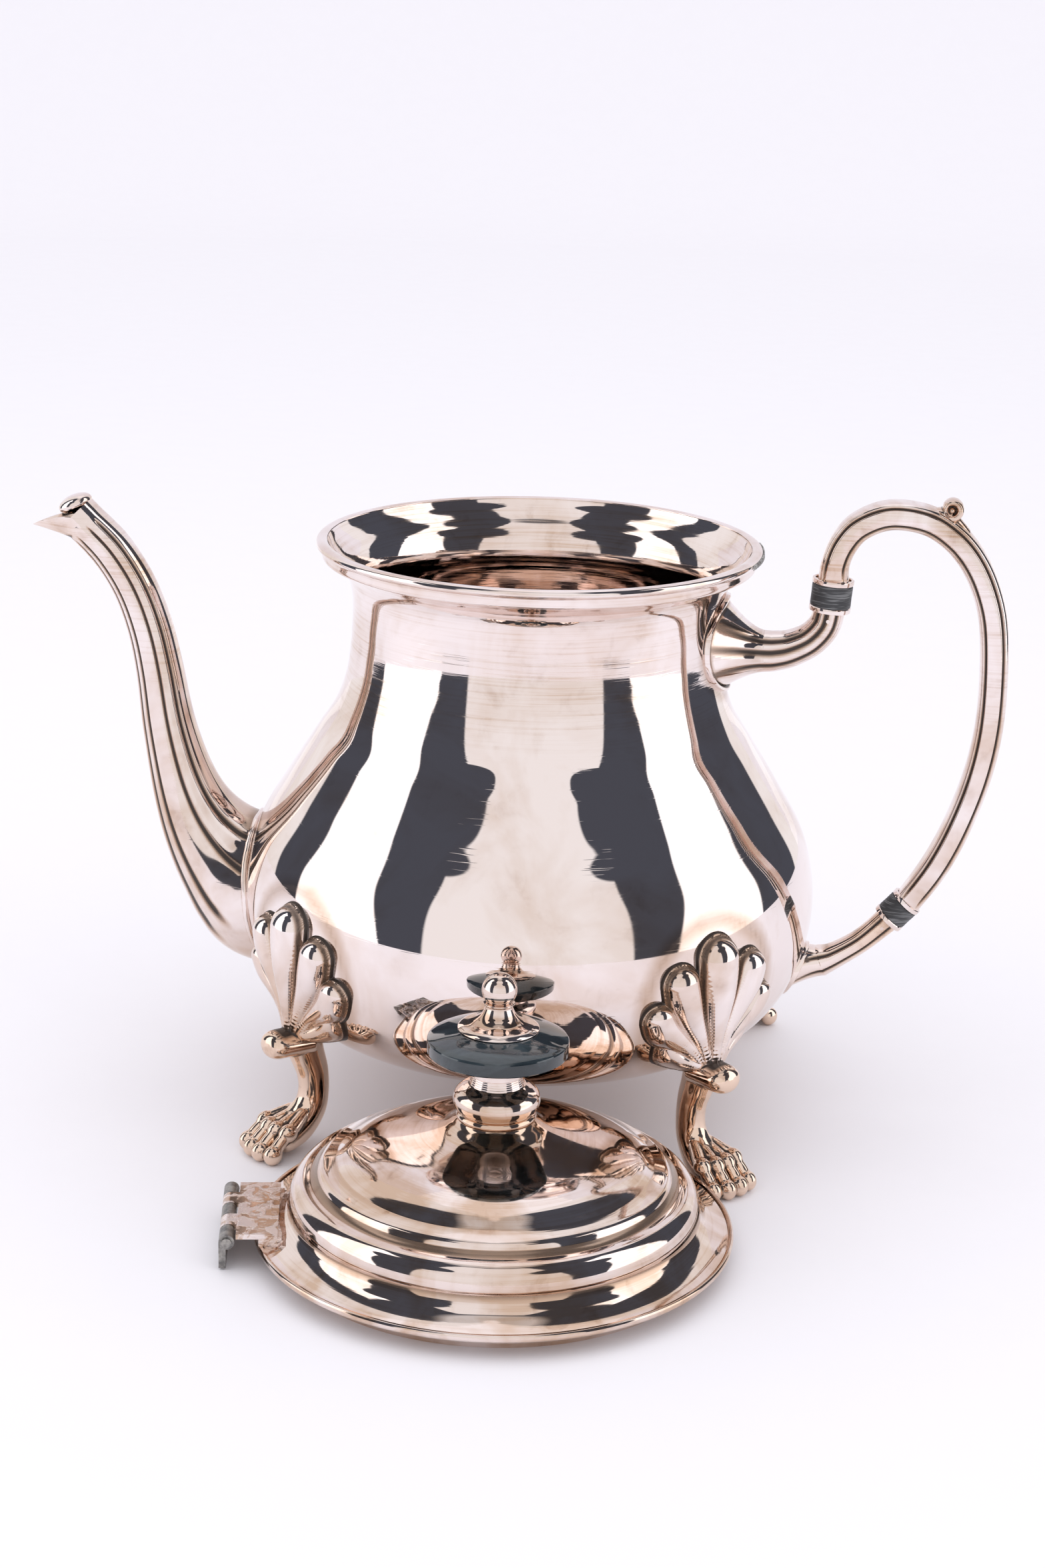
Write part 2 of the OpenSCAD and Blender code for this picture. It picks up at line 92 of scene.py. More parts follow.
def turned(profile, sectors):
    """Rings of a solid of revolution: each (r, z) of the profile gives (r cos a, r sin a, z) for all a."""
    p = np.asarray(profile, float)
    a = np.linspace(0, 2 * math.pi, sectors, endpoint=False)
    r, z = p[:, 0, None], p[:, 1, None]
    return np.stack([r * np.cos(a), r * np.sin(a), z + 0 * a], -1)


def squared(v, power):
    """Keeps the sign of v and raises its size to the power, which flattens a circle's sides."""
    return np.sign(v) * np.abs(v) ** power


def planar_bar(path, sectors, power, groove=None):
    """Rings of a bar along a path in the XZ plane. Each path point is (x, z, half thickness, half width);
    a ring is the superellipse (thickness cos^p a, width sin^p a) set square to the path, and groove(s, a)
    gives how much of the section is taken away at length share s and angle a."""
    p = np.asarray(path, float)
    h = headings(p[:, :2])
    a = np.linspace(0, 2 * math.pi, sectors, endpoint=False)[None, :]
    share = np.linspace(0, 1, len(p))[:, None]
    keep = 1.0 - (groove(share, a) if groove else 0.0) / np.minimum(p[:, 2:3], p[:, 3:4])
    u = p[:, 2:3] * squared(np.cos(a), power) * keep
    v = p[:, 3:4] * squared(np.sin(a), power) * keep
    return np.stack([p[:, :1] - h[:, 1:2] * u, v, p[:, 1:2] + h[:, :1] * u], -1)


def bar_dirt(path, sectors, groove, depth):
    """Share of the full groove depth at every point of a planar bar."""
    a = np.linspace(0, 2 * math.pi, sectors, endpoint=False)[None, :]
    return groove(np.linspace(0, 1, len(path))[:, None], a) / depth


def ball(place, radii, sectors=24):
    """Rings of an ellipsoid: a half circle turned about Z, stretched by its three radii."""
    a = np.linspace(-0.499 * math.pi, 0.499 * math.pi, sectors // 2)
    return turned(np.stack([np.cos(a), np.sin(a)], -1), sectors) * radii + np.asarray(place, float)


def beaded(loop, radius, sectors=12):
    """Rings of a round wire along a closed loop that lies on an upright body: at each point a circle in
    the plane of the direction away from Z and the direction across the loop."""
    h = unit(np.roll(loop, -1, 0) - np.roll(loop, 1, 0))
    out = unit(loop * [1, 1, 0])
    out = unit(out - h * (h * out).sum(1, keepdims=True))
    side = np.cross(h, out)
    a = np.linspace(0, 2 * math.pi, sectors, endpoint=False)[None, :, None]
    return loop[:, None] + radius * (np.cos(a) * out[:, None] + np.sin(a) * side[:, None])


def free_bar(path, out, sectors):
    """Rings of an oval bar along a path in space. Each path point is (x, y, z, half thickness, half
    width); thickness lies in the direction out, made square to the path, and width across both."""
    p = np.asarray(path, float)
    h = headings(p[:, :3])
    out = np.asarray(out, float)
    up = unit(out - h * (h @ out)[:, None])
    side = np.cross(h, up)
    a = np.linspace(0, 2 * math.pi, sectors, endpoint=False)[None, :, None]
    u = np.cos(a) * p[:, 3, None, None]
    v = np.sin(a) * p[:, 4, None, None]
    return p[:, None, :3] + u * up[:, None, :] + v * side[:, None, :]


def rounded(path, head, tail):
    """Closes a bar's ends in an arc: the two half sizes fall as sqrt(1 - k^2) over the first share head
    and the last share tail of the path."""
    p = np.array(path, float)
    s = np.linspace(0, 1, len(p))
    fall = np.ones(len(p))
    if head:
        k = np.clip(1 - s / head, 0, 0.985)
        fall *= np.sqrt(1 - k**2)
    if tail:
        k = np.clip((s - 1 + tail) / tail, 0, 0.985)
        fall *= np.sqrt(1 - k**2)
    p[:, -2:] *= fall[:, None]
    return p


def grid_quads(rows, cols, looped_rows=False, looped_cols=False):
    """Faces between the neighbours in a grid of points, whose rows and columns may meet their own start."""
    r = np.arange(rows if looped_rows else rows - 1)[:, None]
    c = np.arange(cols if looped_cols else cols - 1)[None, :]
    here, above, right = r * cols, ((r + 1) % rows) * cols, (c + 1) % cols
    return np.stack([here + c, here + right, above + right, above + c], -1).reshape(-1, 4)


def skin(rings, looped=False):
    """One closed surface over a stack of rings: quads between neighbours, and a fan of triangles to the
    middle of the first and the last ring, unless the stack is looped back on itself."""
    rows, cols = rings.shape[:2]
    quads = grid_quads(rows, cols, looped, True)
    points = rings.reshape(-1, 3)
    tris = NO_TRIANGLES
    if not looped:
        first, last = len(points), len(points) + 1
        points = np.vstack([points, rings[0].mean(0), rings[-1].mean(0)])
        ring, after = np.arange(cols), (np.arange(cols) + 1) % cols
        low = np.stack([after, ring, np.full(cols, first)], -1)
        high = np.stack([ring, after, np.full(cols, last)], -1)
        high[:, :2] += (rows - 1) * cols
        tris = np.vstack([low, high])
    corners = np.vstack([quads[:, [0, 1, 2]], quads[:, [0, 2, 3]], tris])
    a, b, c = (points[corners[:, k]] for k in range(3))
    if np.einsum("ij,ij->i", a, np.cross(b, c)).sum() < 0:
        quads, tris = quads[:, ::-1], tris[:, ::-1]
    return points, quads, tris


def joined(skins):
    """Several closed surfaces as one list of points and faces."""
    points, quads, tris, count = [], [], [], 0
    for p, q, t in skins:
        points.append(p)
        quads.append(q + count)
        tris.append(t + count)
        count += len(p)
    return np.vstack(points), np.vstack(quads), np.vstack(tris)


def about_z(points, degrees):
    """The points turned about +Z."""
    c, s = math.cos(math.radians(degrees)), math.sin(math.radians(degrees))
    return points @ np.array([[c, s, 0], [-s, c, 0], [0, 0, 1]])


def tilted(points, place, degrees):
    """The points tipped from +Z towards +X about the Y axis and moved to a place."""
    c, s = math.cos(math.radians(degrees)), math.sin(math.radians(degrees))
    return points @ np.array([[c, 0, -s], [0, 1, 0], [s, 0, c]]) + np.asarray(place, float)


# ---- outlines shared by several pieces, as (radius, height) ------------------

WALL = 1.2
BODY_OUTLINE = spline([
    [1.5, 16.4], [25, 16.7], [44, 19.4], [58, 24.3], [66.4, 30], [72.4, 38], [75.7, 47], [77.3, 57],
    [76.6, 67], [73.4, 78], [66.4, 90], [58.9, 102], [53.6, 110.5], [50.7, 119], [49.6, 127],
    [49.25, 133], [49.2, 139], [50, 144], [51.8, 147.4], [54.6, 150.2], [56.6, 152.4],
    [57.5, 154], [57.6, 155.2]], 10)
NECK_INSIDE = spline([
    [48.2, 128], [48, 134], [48, 139.5], [48.7, 143.8], [50.6, 147.6], [53.2, 150.6], [55, 153],
    [56.1, 155.2]], 10)
LID_OUTLINE = np.vstack([
    spline([[58.4, 5.6], [55.6, 6.6], [52.6, 8.3], [50.7, 10.2]], 10),
    spline([[50, 11.4], [50.1, 13.6], [49.3, 16], [47.4, 17.8], [45, 18.5]], 10),
    spline([[43.4, 19.6], [42.6, 21], [41, 21.8]], 8),
    spline([[39, 22.6], [34.5, 25.2], [28, 27.4], [20, 29.3], [14, 31.2], [10.8, 33.2], [9.6, 34.2]], 10)])
LID_CENTRE = np.array([5.5, -99.5, 0.0])
LID_TURN = 10.6


def body_radius(height):
    """Radius of the middle of the pot's wall at a height."""
    order = np.argsort(BODY_OUTLINE[:, 1])
    return np.interp(height, BODY_OUTLINE[order, 1], BODY_OUTLINE[order, 0]) - WALL / 2


def out_of_pot(points):
    """Points inside the pot are moved straight out to the middle of its wall."""
    out = np.array(points, float)
    r = np.hypot(out[..., 0], out[..., 1])
    wall = np.where(out[..., 2] > BODY_OUTLINE[0, 1] + WALL / 2, body_radius(out[..., 2]), 0)
    push = np.where(r < wall, wall / np.maximum(r, 0.001), 1.0)
    out[..., 0] *= push
    out[..., 1] *= push
    return out


def at_lid(points):
    """Points of the lid's own frame in the pot's frame."""
    return about_z(points, LID_TURN) + LID_CENTRE


# ---- meshes ------------------------------------------------------------------


def hollows(mesh, passes, depth):
    """How far each vertex lies in a hollow, 0 to 1: the mean of its neighbours is taken that many times,
    and the step from the vertex to it along the normal is divided by the depth in millimetres."""
    count = len(mesh.vertices)
    co = np.empty(count * 3)
    no = np.empty(count * 3)
    mesh.vertices.foreach_get("co", co)
    mesh.vertices.foreach_get("normal", no)
    co, no = co.reshape(-1, 3), no.reshape(-1, 3)
    ends = np.empty(len(mesh.edges) * 2, np.int32)
    mesh.edges.foreach_get("vertices", ends)
    a, b = ends.reshape(-1, 2).T
    share = np.maximum(np.bincount(a, minlength=count) + np.bincount(b, minlength=count), 1)
    soft = co.copy()
    for _ in range(passes):
        soft = np.stack([
            (np.bincount(a, soft[b, k], count) + np.bincount(b, soft[a, k], count)) / share
            for k in range(3)], -1)
    lift = ((soft - co) * no).sum(1) / (depth * MM)
    return np.clip(lift, 0, 1)


def mesh_of(name, shape, crease=38.0):
    """A Blender mesh, in metres, from points and faces in millimetres."""
    points, quads, tris = shape
    mesh = bpy.data.meshes.new(name)
    mesh.from_pydata((points * MM).tolist(), [], quads.tolist() + tris.tolist())
    mesh.polygons.foreach_set("use_smooth", np.ones(len(mesh.polygons), bool))
    mesh.set_sharp_from_angle(angle=math.radians(crease))
    return mesh


def placed(name, data):
    """A new object in the scene."""
    made = bpy.data.objects.new(name, data)
    bpy.context.scene.collection.objects.link(made)
    return made


def fused(shape, voxel, smoothing):
    """Several closed surfaces grown into one: a voxel remesh joins them, and its steps are smoothed away."""
    mesh = mesh_of("casting", shape)
    holder = placed("casting", mesh)
    remesh = holder.modifiers.new("fuse", "REMESH")
    remesh.mode, remesh.voxel_size = "VOXEL", voxel * MM
    soften = holder.modifiers.new("soften", "SMOOTH")
    soften.factor, soften.iterations = 0.5, smoothing
    done = bpy.data.meshes.new_from_object(holder.evaluated_get(bpy.context.evaluated_depsgraph_get()))
    count = len(done.vertices)
    co = np.empty(count * 3)
    done.vertices.foreach_get("co", co)
    faces = [tuple(f.vertices) for f in done.polygons]
    quads = np.array([f for f in faces if len(f) == 4], int).reshape(-1, 4)
    tris = np.array([f for f in faces if len(f) == 3], int).reshape(-1, 3)
    bpy.data.objects.remove(holder)
    bpy.data.meshes.remove(done)
    bpy.data.meshes.remove(mesh)
    return co.reshape(-1, 3) / MM, quads, tris


def make_piece(name, shape, body, slot, nodes, *, crease, passes=0, depth=0.2, dirt=None, finish=None):
    """A finished piece: mesh, oxide attribute, material, the body it rides on and the nodes it stands for.
    The crease is the angle in degrees from which an edge is sharp. The oxide is the larger of the hollows
    found in the mesh, with those passes and that depth, and the dirt given for its first vertices."""
    mesh = mesh_of(name, shape, crease)
    oxide = hollows(mesh, passes, depth) if passes else np.zeros(len(mesh.vertices))
    if dirt is not None:
        oxide[:dirt.size] = np.maximum(oxide[:dirt.size], dirt.reshape(-1))
    mesh.attributes.new("oxide", "FLOAT", "POINT").data.foreach_set("value", oxide)
    mesh.materials.append(finish_of(finish or slot))
    piece = placed(name, mesh)
    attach(piece, body)
    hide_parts(*nodes)


# ---- finishes ------------------------------------------------------------------


class Value:
    """A number that varies over a surface. Python's arithmetic on it adds Math nodes."""

    def __init__(self, finish, socket):
        self.finish, self.socket = finish, socket

    def math(self, operation, other=0.0, swap=False):
        """One Math node of this value and another, in that order or swapped."""
        values = {0: other, 1: self} if swap else {0: self, 1: other}
        made = self.finish.node("ShaderNodeMath", {"operation": operation}, values)
        return Value(self.finish, made.outputs[0])

    def __add__(self, other):
        return self.math("ADD", other)

    def __sub__(self, other):
        return self.math("SUBTRACT", other)

    def __rsub__(self, other):
        return self.math("SUBTRACT", other, swap=True)

    def __mul__(self, other):
        return self.math("MULTIPLY", other)

    def __truediv__(self, other):
        return self.math("DIVIDE", other)

    def __rtruediv__(self, other):
        return self.math("DIVIDE", other, swap=True)

    def __pow__(self, other):
        return self.math("POWER", other)

    def __rpow__(self, other):
        return self.math("POWER", other, swap=True)

    __radd__, __rmul__ = __add__, __mul__

    def above(self, low, high):
        """0 up to low and 1 from high, straight between."""
        made = self.finish.node("ShaderNodeMapRange", {"clamp": True},
                                {"Value": self, "From Min": low, "From Max": high})
        return Value(self.finish, made.outputs[0])


class Finish:
    """A material being put together."""

    def __init__(self, name):
        self.material = bpy.data.materials.new(name)
        self.material.use_nodes = True
        self.tree = self.material.node_tree
        self.tree.nodes.clear()
        self.place = self.node("ShaderNodeTexCoord").outputs["Object"]

    def node(self, kind, settings=None, values=None):
        """Adds a node: its settings first, then the values or links of its sockets."""
        made = self.tree.nodes.new(kind)
        for name, setting in (settings or {}).items():
            setattr(made, name, setting)
        for key, value in (values or {}).items():
            socket = getattr(value, "socket", value)
            if isinstance(socket, bpy.types.NodeSocket):
                self.tree.links.new(socket, made.inputs[key])
            else:
                made.inputs[key].default_value = value
        return made

    def stretched(self, scale, turn):
        """Object coordinates in units of 1 / scale along each axis, turned by the angles in degrees."""
        values = {"Vector": self.place, "Rotation": [math.radians(t) for t in turn], "Scale": scale}
        return self.node("ShaderNodeMapping", {"vector_type": "POINT"}, values).outputs[0]

    def noise(self, scale, detail=3.0, roughness=0.5, distortion=0.0, vector=None):
        """Fractal noise, about 0.2 to 0.8; scale is in lumps per metre unless a vector is given."""
        values = {"Vector": vector or self.place, "Scale": scale, "Detail": detail,
                  "Roughness": roughness, "Distortion": distortion}
        return Value(self, self.node("ShaderNodeTexNoise", None, values).outputs[0])

    def scratches(self, along, across, turn, low, high):
        """Fine parallel lines: noise drawn out along one axis, of which only the crests count."""
        return self.noise(1.0, 2.0, 0.6, 0.0, self.stretched((along, along, across), turn)).above(low, high)

    def circles(self, centre, across, low, high):
        """Fine lines round an upright axis: noise of the distance from the axis and the height."""
        x, y, z = self.node("ShaderNodeSeparateXYZ", None, {0: self.place}).outputs
        away = (Value(self, x) - centre[0]) ** 2 + (Value(self, y) - centre[1]) ** 2
        flat = {0: away.math("SQRT") * across, 1: Value(self, z) * across, 2: Value(self, x) * 40}
        vector = self.node("ShaderNodeCombineXYZ", None, flat).outputs[0]
        return self.noise(1.0, 2.0, 0.6, 0.0, vector).above(low, high)

    def attribute(self, name):
        """A number kept at each vertex of the piece."""
        return Value(self, self.node("ShaderNodeAttribute", {"attribute_name": name}).outputs["Fac"])

    def height(self):
        """Height above the table in metres."""
        return Value(self, self.node("ShaderNodeSeparateXYZ", None, {0: self.place}).outputs[2])

    def mix(self, factor, first, second):
        """Colour from first to second as factor goes from 0 to 1."""
        values = {0: factor, 6: colour(first), 7: colour(second)}
        return self.node("ShaderNodeMix", {"data_type": "RGBA"}, values).outputs[2]

    def bump(self, height, strength, distance):
        """Normal of a surface raised by the height times the distance in metres."""
        values = {"Height": height, "Strength": strength, "Distance": distance}
        return self.node("ShaderNodeBump", None, values).outputs[0]

    def finish(self, **sockets):
        """Joins the shader to the output; socket names have _ for a space."""
        values = {name.replace("_", " "): value for name, value in sockets.items()}
        shader = self.node("ShaderNodeBsdfPrincipled", None, values)
        self.node("ShaderNodeOutputMaterial", None, {"Surface": shader.outputs[0]})
        return self.material


def colour(value):
    """A colour with its alpha, or a socket as it is."""
    return value if isinstance(value, bpy.types.NodeSocket) else (*value, 1)


def silver(name, tan, low_tan, dirt, dull, brown=False, rings=False):
    """Polished plate. Tan tarnish lies in clouds and towards the table, a brown edge and black oxide lie in
    hollows, and loose scratches cross brushed lines that run round the neck or round the lid. The numbers
    tan, low_tan and dirt are the strengths of the clouds, of the tarnish near the table and of the oxide."""
    tones = bpy.context.scene.coffee_pot_finish
    f = Finish(name)
    clouds = f.noise(34, 4.0, 0.55, 0.8).above(0.40, 0.66)
    blots = f.noise(150, 4.0, 0.6, 0.5).above(0.54, 0.72)
    near_table = (0.055 - f.height()).above(0.0, 0.04)
    oxide = f.attribute("oxide")
    edge, grime = oxide.above(0.05, 0.45), oxide.above(0.3, 0.8)
    if rings:
        brushed = f.circles(LID_CENTRE * MM, 950, 0.46, 0.74) * 0.8
    else:
        neck = f.height().above(0.108, 0.122)
        brushed = f.scratches(30, 1500, (2, 3, 0), 0.48, 0.74) * neck
    crossed = (f.scratches(40, 1500, (38, 22, 10), 0.62, 0.74)
               + f.scratches(35, 1300, (-47, 30, 60), 0.63, 0.75))
    tarnish = clouds * tan + near_table * low_tan + edge * 0.6 + brushed * 0.45 * (0.4 + clouds)
    tarnished = tones.gilded if brown else tones.tarnished
    plate = f.mix(tarnish.math("MINIMUM", 1.0), tones.bright, tarnished)
    stain = edge * (0.45 * dirt) + blots * clouds * (0.5 * tan) + brushed * (0.2 + blots) * (0.35 * tan)
    browned = f.mix(stain.math("MINIMUM", 1.0), plate, tones.brown)
    grimed = f.mix((grime * dirt).math("MINIMUM", 1.0), browned, tones.oxide)
    worn = clouds * 0.025 + blots * 0.02 + brushed * 0.07 + crossed * 0.03
    roughness = 0.02 + dull + worn + grime * 0.3
    return f.finish(Base_Color=grimed, Metallic=1.0 - grime * (0.6 * dirt),
                    Roughness=roughness.math("MINIMUM", 0.8),
                    Normal=f.bump(brushed + crossed, 0.10, 0.00003))


def worn_metal(name):
    """Base metal with its plate gone: grey, scuffed and dull."""
    tones = bpy.context.scene.coffee_pot_finish
    f = Finish(name)
    scuffs = f.noise(420, 5.0, 0.65).above(0.4, 0.65)
    lines = f.scratches(60, 1800, (10, 25, 0), 0.5, 0.7)
    metal = f.mix(scuffs, tones.bare, tones.scuffed)
    return f.finish(Base_Color=metal, Metallic=0.85, Roughness=0.32 + scuffs * 0.2 + lines * 0.15,
                    Normal=f.bump(scuffs * 0.6 + lines, 0.35, 0.0001))


def scraped_plate(name):
    """Plate of the torn hinge: silver under a ragged crust of old solder and brown scrapes."""
    tones = bpy.context.scene.coffee_pot_finish
    f = Finish(name)
    crust = f.noise(210, 5.0, 0.6, 1.2).above(0.44, 0.54)
    scrapes = f.scratches(90, 1700, (20, 35, 0), 0.5, 0.7)
    stains = f.noise(190, 3.0, 0.6, 0.5).above(0.45, 0.7)
    plate = f.mix(stains * 0.6, tones.tarnished, tones.brown)
    crusted = f.mix(crust * 0.9, plate, tones.bright)
    return f.finish(Base_Color=crusted, Metallic=0.95, Roughness=0.14 + crust * 0.12 + scrapes * 0.1,
                    Normal=f.bump(crust + scrapes * 0.25, 0.35, 0.0003))


def solder(name):
    """Torn soft solder: pale grey crumbs on a dark ground."""
    f = Finish(name)
    crumbs = f.noise(900, 4.0, 0.7).above(0.42, 0.6)
    speckled = f.mix(crumbs, (0.13, 0.12, 0.11), (0.6, 0.6, 0.58))
    return f.finish(Base_Color=speckled, Metallic=0.5, Roughness=0.5 + crumbs * 0.2,
                    Normal=f.bump(crumbs, 0.8, 0.0003))


def fibre(name):
    """Vulcanised fibre: matt dark grey, turned across, with fine pale lines."""
    tones = bpy.context.scene.coffee_pot_finish
    f = Finish(name)
    lines = f.scratches(160, 3600, (0, 0, 0), 0.5, 0.66)
    clouds = f.noise(260, 3.0)
    lined = f.mix(lines * 0.9 + clouds * 0.15, tones.fibre, tones.fibre_line)
    return f.finish(Base_Color=lined, Metallic=0.0, Roughness=0.5 + lines * 0.15,
                    Normal=f.bump(lines, 0.3, 0.00006))


def horn(name):
    """Polished dark horn: blue-green with pale milky streaks under a glossy surface."""
    tones = bpy.context.scene.coffee_pot_finish
    f = Finish(name)
    streaks = f.noise(1.0, 5.0, 0.6, 1.2, f.stretched((45, 150, 60), (0, 0, 25))).above(0.45, 0.8)
    deep = f.mix(f.noise(70, 2.0).above(0.3, 0.7), tones.horn_deep, tones.horn)
    milky = f.mix(streaks * 0.5, deep, tones.horn_streak)
    return f.finish(Base_Color=milky, Metallic=0.0, Roughness=0.05 + streaks * 0.05, Coat_Weight=0.6,
                    Coat_Roughness=0.03, Normal=f.bump(streaks, 0.04, 0.0001))


FINISHES = {
    "silver_plate": lambda name: silver(name, tan=0.5, low_tan=0.6, dirt=0.9, dull=0.0),
    "lid_plate": lambda name: silver(name, tan=1.0, low_tan=0.25, dirt=1.0, dull=0.012, rings=True),
    "chased_silver": lambda name: silver(name, tan=0.8, low_tan=0.3, dirt=1.0, dull=0.03),
    "foot_silver": lambda name: silver(name, tan=1.2, low_tan=0.9, dirt=1.0, dull=0.04, brown=True),
    "worn_metal": worn_metal,
    "scraped_plate": scraped_plate,
    "solder": solder,
    "fibre": fibre,
    "horn": horn,
}


def finish_of(key):
    """The finish with that key, built when it is first asked for. Its material has a name of its own,
    because the frame's plain materials are named after the slots."""
    name = key + "_finish"
    return bpy.data.materials.get(name) or FINISHES[key](name)


def dress_nodes(names, finish=None):
    """Gives CAD nodes that keep their own shape the finish given, or that of their material slot."""
    slots = {s["node"]: s["material_slot"] for s in frame["record"]["subparts"]}
    for name in names:
        node = frame["nodes"][name]
        node.data.materials.clear()
        node.data.materials.append(finish_of(finish or slots[name]))


# ---- settings --------------------------------------------------------------------


def tone(name, description, default):
    """A colour setting."""
    return bpy.props.FloatVectorProperty(
        name=name, description=description, default=default, subtype="COLOR", size=3, min=0, max=1)


def depth(name, description, default):
    """A depth setting of up to a millimetre; its default is given in millimetres."""
    return bpy.props.FloatProperty(name=name, description=description, default=default * MM,
                                   min=0.01 * MM, max=MM, unit="LENGTH", precision=5)


class CoffeePotFinish(bpy.types.PropertyGroup):
    """Colours of the finishes"""
    bright: tone("Bright plate", "Colour of freshly rubbed silver plate", (0.91, 0.82, 0.79))
    tarnished: tone("Tarnished plate", "Colour of the clouds of tan tarnish", (0.66, 0.485, 0.37))
    gilded: tone("Gold-brown plate", "Colour of the old tarnish on the feet", (0.83, 0.64, 0.51))
    brown: tone("Brown edge", "Colour of the stain beside a groove", (0.34, 0.19, 0.11))
    oxide: tone("Oxide", "Colour of the grime in grooves", (0.045, 0.032, 0.026))
    bare: tone("Bare metal", "Colour of the metal under the plate", (0.16, 0.155, 0.15))
    scuffed: tone("Scuffed metal", "Colour of the rubbed spots on bare metal", (0.46, 0.44, 0.41))
    fibre: tone("Fibre", "Colour of the insulators", (0.022, 0.023, 0.026))
    fibre_line: tone("Fibre lines", "Colour of the fine lines turned in the fibre", (0.20, 0.205, 0.21))
    horn_deep: tone("Deep horn", "Darkest colour of the knob's disc", (0.006, 0.010, 0.013))
    horn: tone("Horn", "Colour of the paler depths of the knob's disc", (0.018, 0.027, 0.033))
    horn_streak: tone("Horn streaks", "Colour of the milky streaks in the horn", (0.09, 0.12, 0.135))


class CoffeePotShape(bpy.types.PropertyGroup):
    """Depths of the cast and chased lines"""
    spout_groove: depth("Spout groove", "Depth of the lines along the spout", 0.42)
    grip_groove: depth("Grip groove", "Depth of the lines along the grip", 0.5)
    socket_groove: depth("Socket groove", "Depth of the lines along the sockets", 0.4)


class CoffeePotStage(bpy.types.PropertyGroup):
    """Floor, light and the room in the reflections"""
    floor: tone("Floor", "Colour of the table", (0.86, 0.85, 0.88))
    room: tone("Room", "Colour of the white room behind the pot", (0.965, 0.95, 0.99))
    flag: tone("Dark flags", "Colour of the dark parts of the reflected room", (0.070, 0.076, 0.098))
    wall: tone("White wall", "Colour of the white parts of the reflected room", (0.95, 0.93, 0.94))
    surround: bpy.props.FloatProperty(
        name="Surround", description="Brightness of the white room behind the pot", default=1.13,
        min=0, max=5)
    key: bpy.props.FloatProperty(
        name="Softboxes", description="Power of each lamp", default=1.3, min=0, max=100, unit="POWER")


# ---- pot -----------------------------------------------------------------------


# Where other pieces are soldered to the body: (bearing, height, half width, half height).
JOINS = [(turn, 50.5, 20.5, 21.5) for turn in FEET.values()] + [
    (180.0, 56.5, 20.0, 26.0), (0.0, 40.5, 8.8, 8.8), (0.0, 131.0, 19.0, 13.8)]
HALO_STRENGTH, HALO_SPREAD = 0.34, 0.13
INSIDE_TOP = 126.0
LIP_SECTION = np.vstack([
    spline([[56.1, 155.35], [57.2, 155.62], [58.2, 155.5], [58.85, 155.05], [59.0, 154.4],
            [58.8, 153.9], [58.2, 153.5], [57.7, 153.2], [57.55, 152.3], [57.45, 151.2],
            [57.0, 150.6], [56.2, 150.5]], 6),
    spline([[55.6, 151.2], [56.4, 153.2], [56.0, 154.8]], 4)])


def stained(rings):
    """Stain on the body round the pieces soldered to it: exp(-((e - 1) / spread)^2), where e is 1 on the
    oval of a join and grows away from it. A join is (bearing, height, half width, half height)."""
    turn, up = np.degrees(np.arctan2(rings[..., 1], rings[..., 0])), rings[..., 2]
    radius = np.hypot(rings[..., 0], rings[..., 1])
    stain = np.zeros(up.shape)
    for bearing, height, half_width, half_height in JOINS:
        across = np.radians((turn - bearing + 180) % 360 - 180) * radius
        e = np.hypot(across / half_width, (up - height) / half_height)
        stain = np.maximum(stain, HALO_STRENGTH * np.exp(-((e - 1) / HALO_SPREAD) ** 2))
    return stain


class COFFEEPOT_OT_body(bpy.types.Operator):
    """Body shell and rolled lip"""
    bl_idname = "coffee_pot.body"
    bl_label = "Body and lip"
    bl_options = {"REGISTER", "UNDO"}

    def execute(self, context):
        inside = inset(BODY_OUTLINE[BODY_OUTLINE[:, 1] < INSIDE_TOP], WALL)
        inside = inside[inside[:, 0] > 1.0][::-2]
        rings = turned(np.vstack([BODY_OUTLINE, NECK_INSIDE[::-1], inside]), FINE_ROUND)
        make_piece("body_skin", skin(rings), "pot", "silver_plate", ["body_shell"], crease=60,
                   dirt=stained(rings))
        lip = skin(turned(LIP_SECTION, FINE_ROUND), looped=True)
        make_piece("lip_skin", lip, "pot", "silver_plate", ["rim_wire"], crease=60)
        return {"FINISHED"}


# ---- spout ---------------------------------------------------------------------

# Middle line of the spout, as (x, z, half thickness, half width).
SPOUT_PATH = [
    [-66, 55, 23.6, 17], [-74, 55.8, 23, 17], [-80, 58.8, 19.8, 15.2], [-85.8, 63.6, 15.4, 12.8],
    [-91, 70.2, 12.2, 10.8], [-95, 77.8, 9.9, 9.3], [-98.2, 87.2, 8.3, 8.2], [-101.2, 100, 7.1, 7.2],
    [-103.5, 114.5, 6.4, 6.5], [-106.1, 126.2, 6.1, 6.2], [-110.2, 137, 5.9, 6], [-116.2, 146.4, 5.8, 6],
    [-123.4, 153.6, 5.6, 5.9]]
# Places of the lines, as cosines of the angle round the spout; wall, beak, passage, solder bead and cap.
SPOUT_LINES = (0.78, 0.48, -0.2, -0.67)
SPOUT_WALL = 0.8
MOUTH_RUN = 3.4
BEAK_TIP, BEAK_BULGE, BEAK_RINGS = np.array([-138.2, 0.0, 152.3]), 5.0, 12
PASSAGE_RINGS, PASSAGE_SHARE = 60, 0.78
BEAD_RADIUS, BEAD_GAP, BEAD_SMOOTHING = 0.9, 1.1, 6
GRIME_NEAR_BODY = 1.2
MOUTH_CAP, MOUTH_CAP_RADII, MOUTH_CAP_TILT = (-126.2, 0, 158.7), (4.7, 4.75, 2.45), -24


